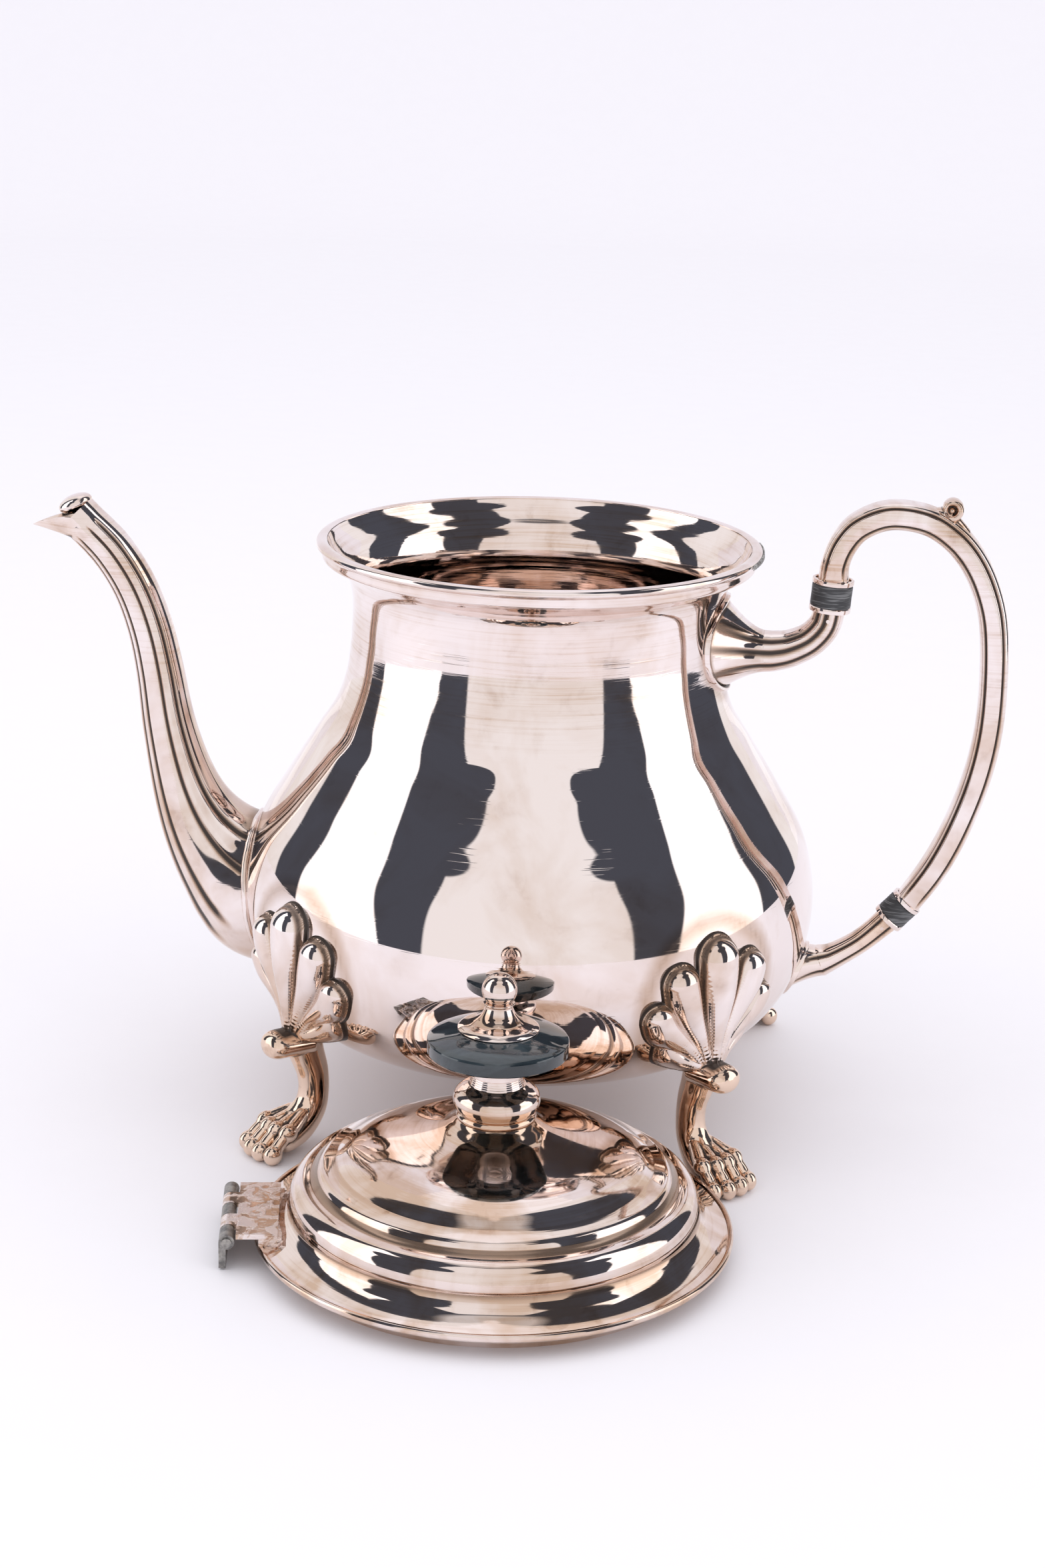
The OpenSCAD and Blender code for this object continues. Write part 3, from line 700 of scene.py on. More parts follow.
def lines_along(places, depth, spread, start, stop):
    """Grooves along a bar: dips shaped as exp(-(d / spread)^2), where d is how far the cosine of the
    angle is from each place. They fade in from the length share start and out to the share stop, and
    leave out the two edges where the sine of the angle is small."""
    def groove(s, a):
        dips = sum(np.exp(-((np.cos(a) - place) / spread) ** 2) for place in places)
        fade = np.clip((s - start) / 0.06, 0, 1) * np.clip((stop - s) / 0.03, 0, 1)
        return depth * dips * fade * (np.abs(np.sin(a)) > 0.2)
    return groove


class COFFEEPOT_OT_spout(bpy.types.Operator):
    """Cast spout with its beak, and the rolled cap at its mouth"""
    bl_idname = "coffee_pot.spout"
    bl_label = "Spout"
    bl_options = {"REGISTER", "UNDO"}

    def execute(self, context):
        depth = context.scene.coffee_pot_shape.spout_groove / MM
        path = spline(SPOUT_PATH, 9)
        groove = lines_along(SPOUT_LINES, depth, 0.06, 0.1, 0.99)
        outer = planar_bar(path, FINE_ROUND, 0.9, groove)
        passage = planar_bar(path, FINE_ROUND, 0.95)[::-1][:PASSAGE_RINGS]
        centre = passage.mean(1, keepdims=True)
        passage = centre + (passage - centre) * PASSAGE_SHARE
        clear = np.hypot(outer[..., 0], outer[..., 1]) - body_radius(outer[..., 2])
        near_body = 1 - np.clip((clear - WALL) / GRIME_NEAR_BODY, 0, 1)
        dirt = np.maximum(bar_dirt(path, FINE_ROUND, groove, depth), near_body)
        rings = np.concatenate([outer, self.beak(path, outer[-1]), passage])
        make_piece("spout_skin", skin(out_of_pot(rings)), "pot", "chased_silver", ["spout"],
                   crease=50, passes=6, depth=0.12, dirt=dirt)
        first = np.argmax(clear > BEAD_GAP, axis=0)
        self.bead(outer[first, np.arange(FINE_ROUND)][::2])
        cap = tilted(ball((0, 0, 0), MOUTH_CAP_RADII, SMALL_ROUND), MOUTH_CAP, MOUTH_CAP_TILT)
        make_piece("mouth_roll", skin(cap), "pot", "chased_silver", ["mouth_cap"], crease=50)
        return {"FINISHED"}

    def beak(self, path, last):
        """Rings from the spout's last one to its mouth, and the mouth's inner edge. The mouth is that ring
        moved along the spout, and each point under it is drawn to the beak's tip by the share reach, the
        cosine of its angle to the power 0.75; the edge of the beak bulges by reach (1 - reach)."""
        angle = np.linspace(0, 2 * math.pi, FINE_ROUND, endpoint=False)
        reach = np.clip(np.cos(angle), 0, 1)[:, None] ** 0.75
        heading = headings(path[:, :2])[-1]
        mouth = last + np.array([heading[0], 0, heading[1]]) * MOUTH_RUN
        rim = mouth * (1 - reach) + BEAK_TIP * reach
        rim[:, 2] += BEAK_BULGE * (reach * (1 - reach))[:, 0]
        grow = np.linspace(0, 1, BEAK_RINGS)[1:, None, None] ** 0.9
        edge = rim + unit(mouth.mean(0) - rim) * SPOUT_WALL
        return np.concatenate([last * (1 - grow) + rim * grow, edge[None]])

    def bead(self, loop):
        """Fillet of solder round the spout's root, smoothed by averaging each point with its neighbours."""
        for _ in range(BEAD_SMOOTHING):
            loop = (np.roll(loop, 1, 0) + loop * 2 + np.roll(loop, -1, 0)) / 4
        wire = skin(beaded(loop, BEAD_RADIUS), looped=True)
        make_piece("spout_bead", wire, "pot", "chased_silver", ["spout"], crease=60)


# ---- handle --------------------------------------------------------------------

# Insulators: middle, tilt in degrees, radius and half length; and the length of a collar's cup.
UPPER_JOINT, UPPER_TILT, UPPER_R, UPPER_HALF = (77.4, 0, 145.3), 4.0, 5.35, 2.95
LOWER_JOINT, LOWER_TILT, LOWER_R, LOWER_HALF = (100.3, 0, 59.3), 41.3, 4.35, 2.6
COLLAR = 1.4
# Bars of the handle, as (x, z, half thickness, half width), and points in a ring of them.
BAR_ROUND = 192
UPPER_PATH = [
    [60.6, 129.0, 5.5, 5.4], [63.4, 129.2, 5.3, 5.3], [67.5, 130.2, 4.9, 5], [72.6, 132.9, 4.5, 4.7],
    [76, 137, 4.3, 4.6], [77.1, 141.6, 4.2, 4.4]]
UPPER_PLATE = (131.0, 12.6, 17.5)
UPPER_RIBS, LOWER_RIBS, GRIP_LINES = (0.62, 0.1, -0.5), (0.5, -0.4), (0.5, -0.5)
GRIP_PATH = [
    [77.7, 149.1, 4.1, 4.4], [78, 154, 3.75, 5], [80, 159.5, 3.75, 5], [84, 164.2, 3.75, 5],
    [91.5, 167.3, 3.75, 5], [101, 166.4, 3.75, 5], [108.2, 162.2, 3.75, 5], [113.4, 156.4, 3.75, 5],
    [117.3, 148.8, 3.75, 5], [119.8, 139.8, 3.75, 5], [120.9, 126.4, 3.75, 5], [120.7, 111.7, 3.75, 5],
    [118.5, 97.8, 3.75, 5], [114.1, 83.5, 3.75, 5], [109, 72, 3.75, 4.7], [102.8, 62.0, 3.6, 3.8]]
LOWER_PATH = [
    [80.5, 43.2, 4.2, 4.7], [84.2, 45, 3.4, 4.2], [91.2, 49.9, 3.1, 3.8], [97.8, 56.4, 3.4, 3.7]]
LOWER_PLATE = (40.5, 7.4, 7.6)
FLARE_RINGS = 25
SOCKET_LIP = np.array([[-0.7, 1.0], [0.5, 1.012], [1.2, 1.0], [1.3, 0.96], [0.9, 0.925]])
SCROLL_PLACE, SCROLL_R, SCROLL_TURNS, SCROLL_STEPS, SCROLL_START = (107.0, 169.7), 2.45, 1.2, 70, 3.6


def cup(radius, half, end):
    """Rings of a thin cup on one end of an insulator, its lip turned away from it."""
    profile = np.array([
        [2.1, 0], [radius - 0.1, 0], [radius + 0.12, 0.18], [radius + 0.16, 0.7],
        [radius + 0.12, COLLAR - 0.12], [radius - 0.1, COLLAR], [radius - 0.62, COLLAR - 0.02],
        [radius - 0.75, COLLAR - 0.2], [radius - 0.8, COLLAR - 0.5], [2.1, COLLAR - 0.5]])
    return turned(profile * [1, end] + [0, end * half], SMALL_ROUND)


class COFFEEPOT_OT_handle(bpy.types.Operator):
    """Sockets, insulators with their collars, and the loop grip with its thumb scroll"""
    bl_idname = "coffee_pot.handle"
    bl_label = "Handle"
    bl_options = {"REGISTER", "UNDO"}

    def execute(self, context):
        shape = context.scene.coffee_pot_shape
        self.grip(shape.grip_groove / MM)
        depth = shape.socket_groove / MM
        self.socket("upper_socket", UPPER_PATH, UPPER_PLATE, UPPER_RIBS, "chased_silver", depth)
        self.socket("lower_socket", LOWER_PATH, LOWER_PLATE, LOWER_RIBS, "foot_silver", depth)
        self.joint("upper", UPPER_JOINT, UPPER_TILT, UPPER_R, UPPER_HALF)
        self.joint("lower", LOWER_JOINT, LOWER_TILT, LOWER_R, LOWER_HALF)
        self.scroll()
        return {"FINISHED"}

    def grip(self, depth):
        """Loop grip: a nearly square bar with a line along each side panel's two edges."""
        path = spline(GRIP_PATH, 9)
        groove = lines_along(GRIP_LINES, depth, 0.12, 0.0, 1.0)
        make_piece("grip_skin", skin(planar_bar(path, BAR_ROUND, 0.62, groove)), "pot", "chased_silver",
                   ["handle_grip"], crease=50, passes=6, depth=0.14,
                   dirt=bar_dirt(path, BAR_ROUND, groove, depth))

    def socket(self, node, arm_path, plate, lines, slot, depth):
        """An arm that opens like a trumpet onto the pot. The mouth is an oval wrapped on the pot's wall;
        the share of it in a ring falls as (1 - t)^1.6 from the wall to the start of the arm. The plate is
        (height, half height, half width) of the oval, and its lip is rows of (step out, share of size)."""
        path = spline(arm_path, 10)
        ribs = lines_along(lines, depth, 0.13, -0.1, 1.0)
        arm = planar_bar(path, BAR_ROUND, 0.85, ribs)
        height, half_z, half_y = plate
        a = np.linspace(0, 2 * math.pi, BAR_ROUND, endpoint=False)
        flat_y, flat_z = half_y * np.sin(a), height + half_z * squared(np.cos(a), 0.9)
        wall = body_radius(flat_z) + WALL / 2
        on_wall = np.stack([np.sqrt(wall**2 - flat_y**2), flat_y, flat_z], -1)
        centre = on_wall.mean(0) * [0, 1, 1]
        lips = np.stack([centre + (on_wall - centre) * [1, k, k] + [out, 0, 0] for out, k in SOCKET_LIP])
        t = np.linspace(0, 1, FLARE_RINGS + 1)[:-1, None, None]
        share = (1 - t) ** 1.6
        flare = on_wall * share + arm[0] * (1 - share)
        flare[..., 0] = 0.3 + on_wall[:, 0] + (arm[0][:, 0] - on_wall[:, 0]) * t[..., 0]
        narrow = centre + (flare - centre) * [1, 0.9, 0.9]
        flare = narrow * (1 - t**0.5) + flare * t**0.5
        ribbed = np.clip(ribs(np.full((1, 1), 0.5), a[None, :]) / depth, 0, 1)
        dirt = np.concatenate([np.zeros((len(SOCKET_LIP) - 1, BAR_ROUND)), np.ones((1, BAR_ROUND)),
                               ribbed * np.linspace(0.5, 1, FLARE_RINGS)[:, None],
                               bar_dirt(path, BAR_ROUND, ribs, depth)])
        rings = np.concatenate([lips, flare, arm])
        make_piece(node + "_skin", skin(rings), "pot", slot, [node], crease=50, passes=8, depth=0.16,
                   dirt=dirt)

    def joint(self, which, place, tilt, radius, half):
        """A turned insulator with eased edges between its two cups."""
        waist = np.array([
            [0.5, -half], [radius - 0.25, -half], [radius - 0.05, -half + 0.15], [radius, -half + 0.5],
            [radius - 0.04, 0], [radius, half - 0.5], [radius - 0.05, half - 0.15],
            [radius - 0.25, half], [0.5, half]])
        ring = skin(tilted(turned(waist, SMALL_ROUND), place, tilt))
        make_piece(which + "_insulator_skin", ring, "pot", "fibre", [which + "_insulator"], crease=30)
        for node, end in ((which + "_collar_low", -1), (which + "_collar_top", 1)):
            collar = skin(tilted(cup(radius, half, end), place, tilt), looped=True)
            make_piece(node + "_skin", collar, "pot", "silver_plate", [node], crease=30)

    def scroll(self):
        """Thumb scroll: a leaf that rises from the grip and rolls back on itself, swept along a spiral."""
        turn = SCROLL_START + np.linspace(0, SCROLL_TURNS * 2 * math.pi, SCROLL_STEPS)
        fade = np.linspace(1, 0.6, SCROLL_STEPS)
        x, z = SCROLL_PLACE
        roll = np.stack([x + SCROLL_R * fade * np.cos(turn), z + SCROLL_R * fade * np.sin(turn),
                         1.2 * fade, 3.3 * fade**0.4], -1)
        stem = spline([[98.5, 167.6, 0.6, 1.2], [101.6, 168.2, 1.2, 2.2], [104.2, 168.8, 1.1, 2.8]], 8)
        base = spline([[101, 167.2, 1.2, 2.4], [106, 166.6, 2.6, 2.9], [111.5, 163.2, 1.2, 2.2]], 8)
        leaf = planar_bar(np.vstack([stem, roll]), 40, 0.8)
        eye = ball((x, 0, z), (1.1, 3.7, 1.1))
        shape = fused(joined([skin(leaf), skin(eye), skin(planar_bar(base, 40, 0.9))]), 0.16, 3)
        make_piece("thumb_scroll_skin", shape, "pot", "chased_silver", ["thumb_scroll"], crease=180,
                   passes=10, depth=0.1)


# ---- feet ----------------------------------------------------------------------

# Leg as (x, z, half thickness, half width) and knee as (x, y, z, half thickness, half width), before each
# foot is turned to its bearing; toes as their places across the paw.
LEG_PATH = [
    [73, 36.5, 5.2, 4.8], [74.4, 32, 5.4, 4.7], [72.8, 26.5, 4.8, 3.9], [71, 21, 4.4, 3.4],
    [70.6, 15.5, 4.3, 3.4], [71.8, 10.8, 4.6, 3.9], [75.6, 6.9, 4.9, 5.0], [80, 4.8, 4.2, 6.0],
    [84, 3.6, 3.2, 6.4]]
TOES, TOE_PITCH, OUTER_TOE_BACK = (-1.5, -0.5, 0.5, 1.5), 3.75, 1.2
KNEE_PATH = [[72, 0, 30.4, 3.6, 5.2], [79, 0, 30.7, 3.7, 5.0], [85.8, 0, 30.9, 3.9, 4.7]]
TOE_UP = (0.3, 0, 1)
FOOT_VOXEL, FOOT_SMOOTHING = 0.32, 2
UNDER_SHELL_Z, UNDER_SHELL_X = 33.0, 83.5


def foot_shape():
    """Lion's paw on a curved leg: the leg is a bar along its path, each toe a tendon bar, a knuckle ball,
    a short bar and a ball at the tip, and the knee is a short fat bar; all are fused."""
    parts = [skin(planar_bar(rounded(spline(LEG_PATH, 6), 0.0, 0.08), 40, 0.95))]
    for place in TOES:
        y, back = place * TOE_PITCH, OUTER_TOE_BACK * (abs(place) > 1)
        tendon = spline([[74.4, y * 0.4, 11.0, 1.3, 1.2], [77.8, y * 0.66, 9.3, 1.8, 1.6],
                         [82.2 - back, y * 0.92, 7.8, 2.0, 1.75]], 6)
        toe = spline([[83.4 - back, y * 0.95, 7.4, 1.7, 1.5], [86.4 - back, y, 4.8, 1.9, 1.6],
                      [88.0 - back, y * 1.03, 2.4, 1.9, 1.6]], 6)
        parts += [skin(free_bar(rounded(tendon, 0.2, 0.2), TOE_UP, 20)),
                  skin(free_bar(rounded(toe, 0.1, 0.1), TOE_UP, 20)),
                  skin(ball((83.2 - back, y * 0.95, 7.5), (2.7, 2.15, 2.5))),
                  skin(ball((88.3 - back, y * 1.05, 2.75), (2.7, 2.2, 2.75)))]
    knee = rounded(spline(KNEE_PATH, 12), 0.1, 0.32)
    parts.append(skin(free_bar(knee, (0, 0, 1), 28)))
    points, quads, tris = fused(joined(parts), FOOT_VOXEL, FOOT_SMOOTHING)
    points[:, 2] = np.maximum(points[:, 2], 0.0)
    return points, quads, tris


class COFFEEPOT_OT_feet(bpy.types.Operator):
    """Four lion's paws"""
    bl_idname = "coffee_pot.feet"
    bl_label = "Feet"
    bl_options = {"REGISTER", "UNDO"}

    def execute(self, context):
        points, quads, tris = foot_shape()
        under_shell = (np.clip(points[:, 2] - UNDER_SHELL_Z, 0, 1)
                       * np.clip((UNDER_SHELL_X - points[:, 0]) / 2.0, 0, 1))
        for name, turn in FEET.items():
            standing = out_of_pot(about_z(points, turn))
            make_piece("paw_" + name, (standing, quads, tris), "pot", "foot_silver",
                       ["foot_" + name], crease=180, passes=14, depth=0.16, dirt=under_shell)
        return {"FINISHED"}


# Lobes of a shell, from the middle one out, as (across, height, half width); each is mirrored.
LOBES = {
    0: [[0, 33.4, 1.5], [0, 41, 2.5], [0, 48, 4.0], [0, 55, 5.3], [0, 62.6, 5.7]],
    1: [[2.0, 33.6, 1.1], [4.6, 41, 2.2], [7.9, 47.6, 3.7], [10.1, 53, 4.7], [11.2, 57.6, 4.8]],
    2: [[3.4, 33.8, 1.1], [7.4, 38.4, 2.2], [11.6, 41.8, 3.5], [14.9, 44.8, 4.3], [16.6, 48.0, 4.2]],
    3: [[4.4, 33.4, 1.4], [8.4, 34.4, 2.3], [11.8, 36.4, 2.9], [13.2, 39.0, 2.4]],
}
SHELL_STEP, SHELL_HALF, SHELL_LOW, SHELL_HIGH = 0.24, 23.0, 31.6, 72.0
SHELL_RIM, SHELL_BASE, SHELL_SUNK, SHELL_BACK = 0.8, 0.9, 0.3, 0.9
LOBE_BULGE = 0.85
BELLY, SHELL_BEND = 77.6, 77.0


def shell_shape():
    """Fan of lobes on a base plate, as one height over the belly. Each lobe is a row of balls whose size
    grows towards the tip, and the height is that of the highest ball: 0.85 w sqrt(1 - (d / w)^2). The base
    plate reaches a rim's width past the lobes and lifts off the belly towards the knee; outside it the
    sheet lies in the pot's wall. Gives the closed shape and the oxide, which is where no ball is high."""
    across, up = np.meshgrid(np.arange(-SHELL_HALF, SHELL_HALF, SHELL_STEP),
                             np.arange(SHELL_LOW, SHELL_HIGH, SHELL_STEP))
    level = np.full(across.shape, -9.0)
    edge = np.full(across.shape, -99.0)
    height = np.zeros(across.shape)
    for line in LOBES.values():
        for y, z, w in spline(line, 7):
            away = np.hypot(np.abs(across) - y, up - z)
            dome = 1 - (away / w) ** 2
            level = np.maximum(level, dome)
            edge = np.maximum(edge, w + SHELL_RIM - away)
            height = np.maximum(height, LOBE_BULGE * w * np.sqrt(np.clip(dome, 0, 1)))
    plate = np.clip(edge / 0.4, 0, 1)
    wall = body_radius(up) + WALL / 2
    lift = np.clip(BELLY - wall, 0, None) * np.clip((62 - up) / 10, 0, 1) * np.exp(-(across / 9) ** 2)
    front = wall - SHELL_SUNK + plate * (SHELL_SUNK + SHELL_BASE + lift + height)
    turn = across / SHELL_BEND
    sheets = [np.stack([r * np.cos(turn), r * np.sin(turn), up], -1) for r in (front, wall - SHELL_BACK)]
    rows, cols = across.shape
    count = rows * cols
    face = grid_quads(rows, cols)
    rim_line = np.concatenate([np.arange(cols), np.arange(1, rows) * cols + cols - 1,
                               count - 2 - np.arange(cols - 1), np.arange(rows - 2, 0, -1) * cols])
    after = np.roll(rim_line, -1)
    border = np.stack([after, rim_line, rim_line + count, after + count], -1)
    quads = np.vstack([face, face[:, ::-1] + count, border])
    points = np.concatenate([sheet.reshape(-1, 3) for sheet in sheets])
    bright_rim = np.clip((edge - 0.35) / 0.3, 0, 1) * np.clip(1 - (edge - 0.65) / 0.4, 0, 1)
    oxide = np.clip(1.1 - level / 0.26, 0, 1) * (1 - 0.85 * bright_rim)
    return (points, quads, NO_TRIANGLES), oxide


class COFFEEPOT_OT_shells(bpy.types.Operator):
    """Four fan-shaped shells over the knees"""
    bl_idname = "coffee_pot.shells"
    bl_label = "Knee shells"
    bl_options = {"REGISTER", "UNDO"}

    def execute(self, context):
        (points, quads, tris), oxide = shell_shape()
        for name, turn in FEET.items():
            make_piece("shell_" + name, (about_z(points, turn), quads, tris), "pot", "chased_silver",
                       ["knee_shell_" + name], crease=180, dirt=oxide)
        return {"FINISHED"}


# ---- lid -----------------------------------------------------------------------


# Outlines on the lid's axis, as (radius, height).
LID_SHEET = 1.0
LID_CROWN = [[9.6, 34.2], [2.1, 34.2], [2.1, 33.2], [9.6, 33.2]]
LID_EDGE = spline([[57.9, 6.15], [58.6, 6.15], [59.0, 5.7], [59.0, 4.9], [58.6, 4.35], [58.0, 4.25],
                   [57.6, 4.6]], 6)
BEZEL = [[52, 0.2], [52.2, 0], [52.8, 0], [53, 0.2], [53, 7.3], [52, 7.6]]
KNOB_ROUND, BORE = 128, 2.1
COLLAR_OUTLINE = np.vstack([
    [[BORE, 34.2], [9.3, 34.2]],
    spline([[9.6, 34.4], [9.8, 34.9], [9.5, 35.6], [8.95, 36.15], [9.7, 36.5], [10.4, 37.3],
            [10.65, 38.4], [10.6, 39.6], [10.1, 40.8], [9.0, 41.8], [7.6, 42.6], [7.0, 43.0]], 6),
    [[BORE, 43.0]]])
STEM_OUTLINE = spline([[6.75, 43.0], [6.2, 45], [6.1, 47.5], [6.3, 49.6], [6.7, 51.2]], 30)
STEM_LINES, STEM_PITCH, STEM_PLAIN = 0.06, 6.3, (47, 1.6)
DISC_OUTLINE = [
    [BORE, 51.2], [16.6, 51.2], [17.05, 51.3], [17.2, 51.55], [17.25, 53.9], [17.2, 54.35],
    [17.0, 54.6], [16.7, 54.8], [15.6, 55.3], [13.8, 56.0], [11.6, 56.7], [9.9, 57.1], [BORE, 57.1]]
FINIAL_BALL, FINIAL_R = 67.1, 4.3
FINIAL_FOOT = spline([[9.85, 57.35], [9.8, 57.7], [8.7, 58.45], [6.2, 59.3], [4.4, 60.6], [3.5, 62.2],
                      [3.3, 63.2], [3.75, 63.5], [3.8, 63.85], [3.0, 64.0]], 6)


def turned_on_lid(profile, sectors):
    """Rings of a turned piece on the lid's axis."""
    return at_lid(turned(profile, sectors).reshape(-1, 3)).reshape(-1, sectors, 3)


class COFFEEPOT_OT_lid(bpy.types.Operator):
    """Domed lid with its rolled edge and the bezel under it"""
    bl_idname = "coffee_pot.lid"
    bl_label = "Lid"
    bl_options = {"REGISTER", "UNDO"}

    def execute(self, context):
        sheet = np.vstack([LID_OUTLINE, LID_CROWN, inset(LID_OUTLINE, LID_SHEET)[::-1]])
        for name, profile, node, crease in (("lid_skin", sheet, "lid_cover", 45),
                                            ("lid_edge_skin", LID_EDGE, "lid_edge_wire", 60),
                                            ("bezel_skin", BEZEL, "lid_bezel", 40)):
            shape = skin(turned_on_lid(profile, FINE_ROUND), looped=True)
            make_piece(name, shape, "lid", "silver_plate", [node], crease=crease, passes=5, depth=0.35,
                       finish="lid_plate")
        return {"FINISHED"}


class COFFEEPOT_OT_knob(bpy.types.Operator):
    """Knob: collar, stem with turned lines, horn disc and ball finial"""
    bl_idname = "coffee_pot.knob"
    bl_label = "Knob"
    bl_options = {"REGISTER", "UNDO"}

    def execute(self, context):
        collar = skin(turned_on_lid(COLLAR_OUTLINE, KNOB_ROUND), looped=True)
        make_piece("collar_skin", collar, "lid", "silver_plate", ["knob_collar"], crease=40, passes=6,
                   depth=0.12, finish="lid_plate")
        stem = skin(turned_on_lid(self.stem_outline(), KNOB_ROUND), looped=True)
        make_piece("stem_skin", stem, "lid", "silver_plate", ["knob_stem"], crease=50, passes=6,
                   depth=0.1, finish="lid_plate")
        disc = skin(turned_on_lid(DISC_OUTLINE, KNOB_ROUND), looped=True)
        make_piece("disc_skin", disc, "lid", "horn", ["knob_disc"], crease=12)
        finial = skin(turned_on_lid(self.finial_outline(), KNOB_ROUND))
        make_piece("finial_skin", finial, "lid", "silver_plate", ["knob_finial"], crease=50, passes=8,
                   depth=0.14, finish="lid_plate")
        return {"FINISHED"}

    def stem_outline(self):
        """Waisted stem, cut by fine turned lines of depth |sin(pitch z)| except on a plain band."""
        outline = STEM_OUTLINE.copy()
        middle, half = STEM_PLAIN
        lined = np.abs(outline[:, 1] - middle) > half
        outline[:, 0] -= STEM_LINES * np.abs(np.sin(outline[:, 1] * STEM_PITCH)) * lined
        return np.vstack([[[BORE, 43.0]], outline, [[BORE, 51.2]]])

    def finial_outline(self):
        """Flared foot under a ball, whose outline is an arc from under its widest ring to near its top."""
        a = np.linspace(-0.86, 1.47, 40)
        arc = np.stack([FINIAL_R * np.cos(a), FINIAL_BALL + FINIAL_R * np.sin(a)], -1)
        return np.vstack([[[BORE, 57.1], [9.5, 57.1]], FINIAL_FOOT, arc])


# ---- small pieces ------------------------------------------------------------


class COFFEEPOT_OT_small(bpy.types.Operator):
    """Hinge, pins, bolt and solder, which keep their own shape"""
    bl_idname = "coffee_pot.small"
    bl_label = "Hinge and small pieces"
    bl_options = {"REGISTER", "UNDO"}

    def execute(self, context):
        dress_nodes(["insulator_pins", "hinge_solder", "knob_bolt", "knob_washer", "knob_nut",
                     "hinge_pin", "hinge_pot_leaf"])
        dress_nodes(["hinge_pad", "hinge_lid_leaf"], "scraped_plate")
        return {"FINISHED"}


# ---- stage ---------------------------------------------------------------------

# Camera: place in millimetres, lens in millimetres on a sensor 36 wide, and its angles in radians. The pot
# stands turned from the room by STAND_TURN, also in radians.
CAMERA_PLACE = (87.29, -720.88, 313.90)
CAMERA_LENS = 64.34
CAMERA_PITCH, CAMERA_ROLL, CAMERA_YAW = 0.301705, 0.028060, -0.003813
STAND_TURN = -0.120504678
# Table and room: the silver mirrors the table out to MIRRORED_TABLE, and the backdrop bends up at its edge.
MIRRORED_TABLE, TABLE_EDGE, BACKDROP_BEND, BACKDROP_TOP = 780.0, 2100.0, 600.0, 4000.0
SURROUND_R, SURROUND_LIFT = 2000.0, 90.0
# Reflected room in degrees, as (where a change starts, where it ends). Bearings are from the middle.
WHITE_WALL_SIDE, WHITE_WALL_TOP = (40, 41), (74, 76)
BOX_INNER, BOX_OUTER, BOX_TOP, BOX_SLANT = (60, 61), (103, 104), (58, 59), 0.3
FAR_RIGHT, FAR_LEFT, CEILING, CEILING_SHARE = (134, 135), (121, 122), (76, 80), 0.7
REFLECTOR_BEARING, REFLECTOR_HEIGHT, REFLECTOR_EDGE = (54, 30), (48.5, 11), (0.97, 1.03)
BOX_GLOW = (1.7, 1.7, 1.75)
LAMPS = {"softbox_left": ((-900, -500, 700), 700), "softbox_right": ((1000, -500, 700), 700),
         "overhead": ((0, 100, 1300), 1400)}
LAMP_AIM = (0, -30, 60)


def camera_axes():
    """Right, up and back of the camera: a look down by the pitch, tipped by the roll about the look, and
    then all turned by the angle at which the pot stands to the camera."""
    p, r, y = CAMERA_PITCH, CAMERA_ROLL, CAMERA_YAW
    look = np.array([math.sin(y) * math.cos(p), math.cos(y) * math.cos(p), -math.sin(p)])
    right = np.array([math.cos(y), -math.sin(y), 0])
    up = np.cross(right, look)
    across = right * math.cos(r) + up * math.sin(r)
    above = up * math.cos(r) - right * math.sin(r)
    return [about_z(v, -math.degrees(STAND_TURN)) for v in (across, above, -look)]


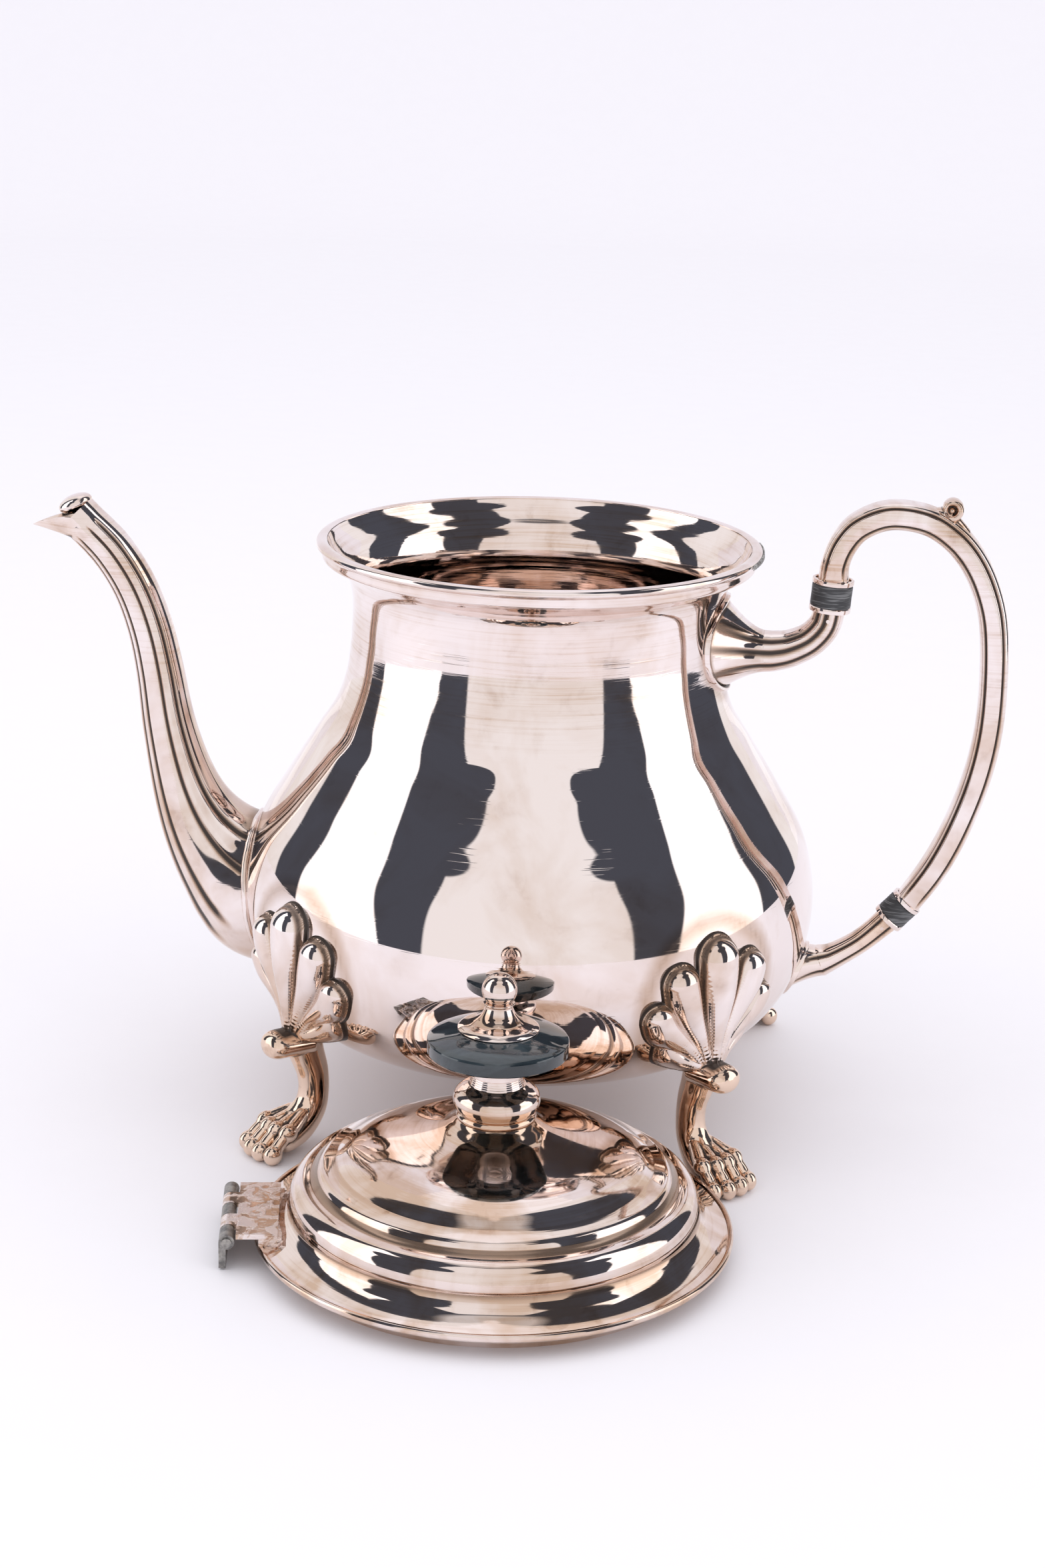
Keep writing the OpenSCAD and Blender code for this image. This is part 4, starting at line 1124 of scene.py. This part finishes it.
class COFFEEPOT_OT_stage(bpy.types.Operator):
    """Camera, pale table, white surround with two softboxes and dark flags"""
    bl_idname = "coffee_pot.stage"
    bl_label = "Stage"
    bl_options = {"REGISTER", "UNDO"}

    def execute(self, context):
        settings = context.scene.coffee_pot_stage
        self.camera(context.scene)
        self.world(context.scene, settings)
        self.table(settings)
        self.surround(settings)
        self.lamps(settings)
        context.scene.view_settings.view_transform = "Standard"
        return {"FINISHED"}

    def camera(self, scene):
        """Camera on its axes, in metres."""
        data = bpy.data.cameras.new("camera")
        data.lens, data.sensor_width, data.sensor_fit = CAMERA_LENS, 36.0, "AUTO"
        data.clip_start, data.clip_end = 0.01, 50
        scene.camera = placed("camera", data)
        axes = Matrix([list(v) for v in camera_axes()]).transposed().to_4x4()
        scene.camera.matrix_world = Matrix.Translation(Vector(CAMERA_PLACE) * MM) @ axes

    def world(self, scene, settings):
        """Even white light from all round."""
        world = bpy.data.worlds.new("studio")
        world.use_nodes = True
        ground = world.node_tree.nodes["Background"]
        ground.inputs["Color"].default_value = (*settings.room, 1)
        ground.inputs["Strength"].default_value = settings.surround
        scene.world = world

    def table(self, settings):
        """A near disc that the silver mirrors, a far one that it doesn't, and a backdrop that starts as a
        quarter circle; all are turned about the upright axis."""
        f = Finish("table")
        dust = f.noise(60, 3.0).above(0.3, 0.8)
        paper = f.mix(dust * 0.25, settings.floor, [0.97 * v for v in settings.floor])
        material = f.finish(Base_Color=paper, Roughness=0.55 + dust * 0.1, Specular_IOR_Level=0.25)
        bend = np.linspace(-0.5 * math.pi, 0, 24)
        sweep = np.stack([TABLE_EDGE + BACKDROP_BEND * np.cos(bend),
                          BACKDROP_BEND + BACKDROP_BEND * np.sin(bend)], -1)
        backdrop = np.vstack([sweep, [[TABLE_EDGE + BACKDROP_BEND, BACKDROP_TOP]]])
        for name, profile, mirrored in (("table_near", [[0, 0], [MIRRORED_TABLE, 0]], True),
                                        ("table_far", [[MIRRORED_TABLE, 0], [TABLE_EDGE, 0]], False),
                                        ("backdrop", backdrop, True)):
            rings = turned(profile, SMALL_ROUND)
            quads = grid_quads(*rings.shape[:2], looped_cols=True)[:, ::-1]
            top = placed(name, mesh_of(name, (rings.reshape(-1, 3), quads, NO_TRIANGLES)))
            top.data.materials.append(material)
            top.visible_glossy = mirrored
            if name == "backdrop":
                top.visible_diffuse = top.visible_shadow = False

    def surround(self, settings):
        """A dome behind the camera that only reflections see: dark, with a white middle wall, a softbox on
        each side and two round reflectors seen from behind. It is part of a sphere, whose bearing and
        height in degrees are kept at each vertex."""
        up = np.radians(np.linspace(-14, 88, 52))[:, None]
        bearing = np.radians(np.linspace(-145, 145, 146))[None, :]
        turn = bearing - STAND_TURN
        dome = np.stack([np.cos(up) * np.sin(turn), -np.cos(up) * np.cos(turn), np.sin(up) + 0 * turn], -1)
        points = (SURROUND_R * dome + [0, 0, SURROUND_LIFT]).reshape(-1, 3)
        mesh = mesh_of("surround", (points, grid_quads(*dome.shape[:2]), NO_TRIANGLES))
        for name, angles in (("bearing", bearing + 0 * up), ("height", up + 0 * turn)):
            values = mesh.attributes.new(name, "FLOAT", "POINT").data
            values.foreach_set("value", np.degrees(angles).reshape(-1))
        mesh.materials.append(self.reflected_room(settings))
        room = placed("surround", mesh)
        room.visible_camera = room.visible_diffuse = room.visible_shadow = False
        room.visible_transmission = False

    def reflected_room(self, settings):
        """Glow of the dome. The round reflectors are dark discs: they hide the white wall and the
        softboxes, whose inner edges slant with the height."""
        f = Finish("surround")
        side, height = f.attribute("bearing"), f.attribute("height")
        bearing = side.math("ABSOLUTE")
        wall = (1 - bearing.above(*WHITE_WALL_SIDE)) * (1 - height.above(*WHITE_WALL_TOP))
        box = (bearing - height * BOX_SLANT).above(*BOX_INNER) * (1 - bearing.above(*BOX_OUTER))
        box = box * (1 - height.above(*BOX_TOP))
        (across, half_width), (up, half_height) = REFLECTOR_BEARING, REFLECTOR_HEIGHT
        oval = ((bearing - across) / half_width) ** 2 + ((height - up) / half_height) ** 2
        clear = oval.above(*REFLECTOR_EDGE)
        far = side.above(*FAR_RIGHT) + (0 - side).above(*FAR_LEFT) + height.above(*CEILING) * CEILING_SHARE
        walls = f.mix((wall * clear + far).math("MINIMUM", 1.0), settings.flag, settings.wall)
        shade = f.mix(box * clear, walls, BOX_GLOW)
        glow = f.node("ShaderNodeEmission", None, {"Color": shade, "Strength": 1.0})
        f.node("ShaderNodeOutputMaterial", None, {"Surface": glow.outputs[0]})
        return f.material

    def lamps(self, settings):
        """Square lamps that the silver doesn't mirror, each turned to the pot."""
        for name, (place, width) in LAMPS.items():
            data = bpy.data.lights.new(name, "AREA")
            data.energy, data.shape, data.size = settings.key, "SQUARE", width * MM
            lamp = placed(name, data)
            lamp.location = Vector(place) * MM
            aim = Vector(LAMP_AIM) * MM - lamp.location
            lamp.rotation_mode = "QUATERNION"
            lamp.rotation_quaternion = aim.to_track_quat("-Z", "Y")
            lamp.visible_camera = lamp.visible_glossy = False


# ---- panel and main --------------------------------------------------------------

BUILDERS = (COFFEEPOT_OT_body, COFFEEPOT_OT_spout, COFFEEPOT_OT_handle, COFFEEPOT_OT_feet,
            COFFEEPOT_OT_shells, COFFEEPOT_OT_lid, COFFEEPOT_OT_knob, COFFEEPOT_OT_small,
            COFFEEPOT_OT_stage)


class COFFEEPOT_PT_panel(bpy.types.Panel):
    """Lists the settings and the builders"""
    bl_idname = "COFFEEPOT_PT_panel"
    bl_label = "Coffee pot"
    bl_space_type = "VIEW_3D"
    bl_region_type = "UI"
    bl_category = "Coffee pot"

    def draw(self, context):
        for group in (context.scene.coffee_pot_finish, context.scene.coffee_pot_shape,
                      context.scene.coffee_pot_stage):
            for name in group.__annotations__:
                self.layout.prop(group, name)
        for builder in BUILDERS:
            self.layout.operator(builder.bl_idname)


CLASSES = (CoffeePotFinish, CoffeePotShape, CoffeePotStage, *BUILDERS, COFFEEPOT_PT_panel)


def register():
    """Registers the classes and adds the settings to the scene."""
    for one in CLASSES:
        bpy.utils.register_class(one)
    bpy.types.Scene.coffee_pot_finish = bpy.props.PointerProperty(type=CoffeePotFinish)
    bpy.types.Scene.coffee_pot_shape = bpy.props.PointerProperty(type=CoffeePotShape)
    bpy.types.Scene.coffee_pot_stage = bpy.props.PointerProperty(type=CoffeePotStage)


def unregister():
    """Takes the settings and the classes away again."""
    del bpy.types.Scene.coffee_pot_finish, bpy.types.Scene.coffee_pot_shape, bpy.types.Scene.coffee_pot_stage
    for one in reversed(CLASSES):
        bpy.utils.unregister_class(one)


def main():
    """Builds everything in order."""
    register()
    for builder in BUILDERS:
        group, name = builder.bl_idname.split(".")
        getattr(getattr(bpy.ops, group), name)()


if __name__ == "__main__":
    main()
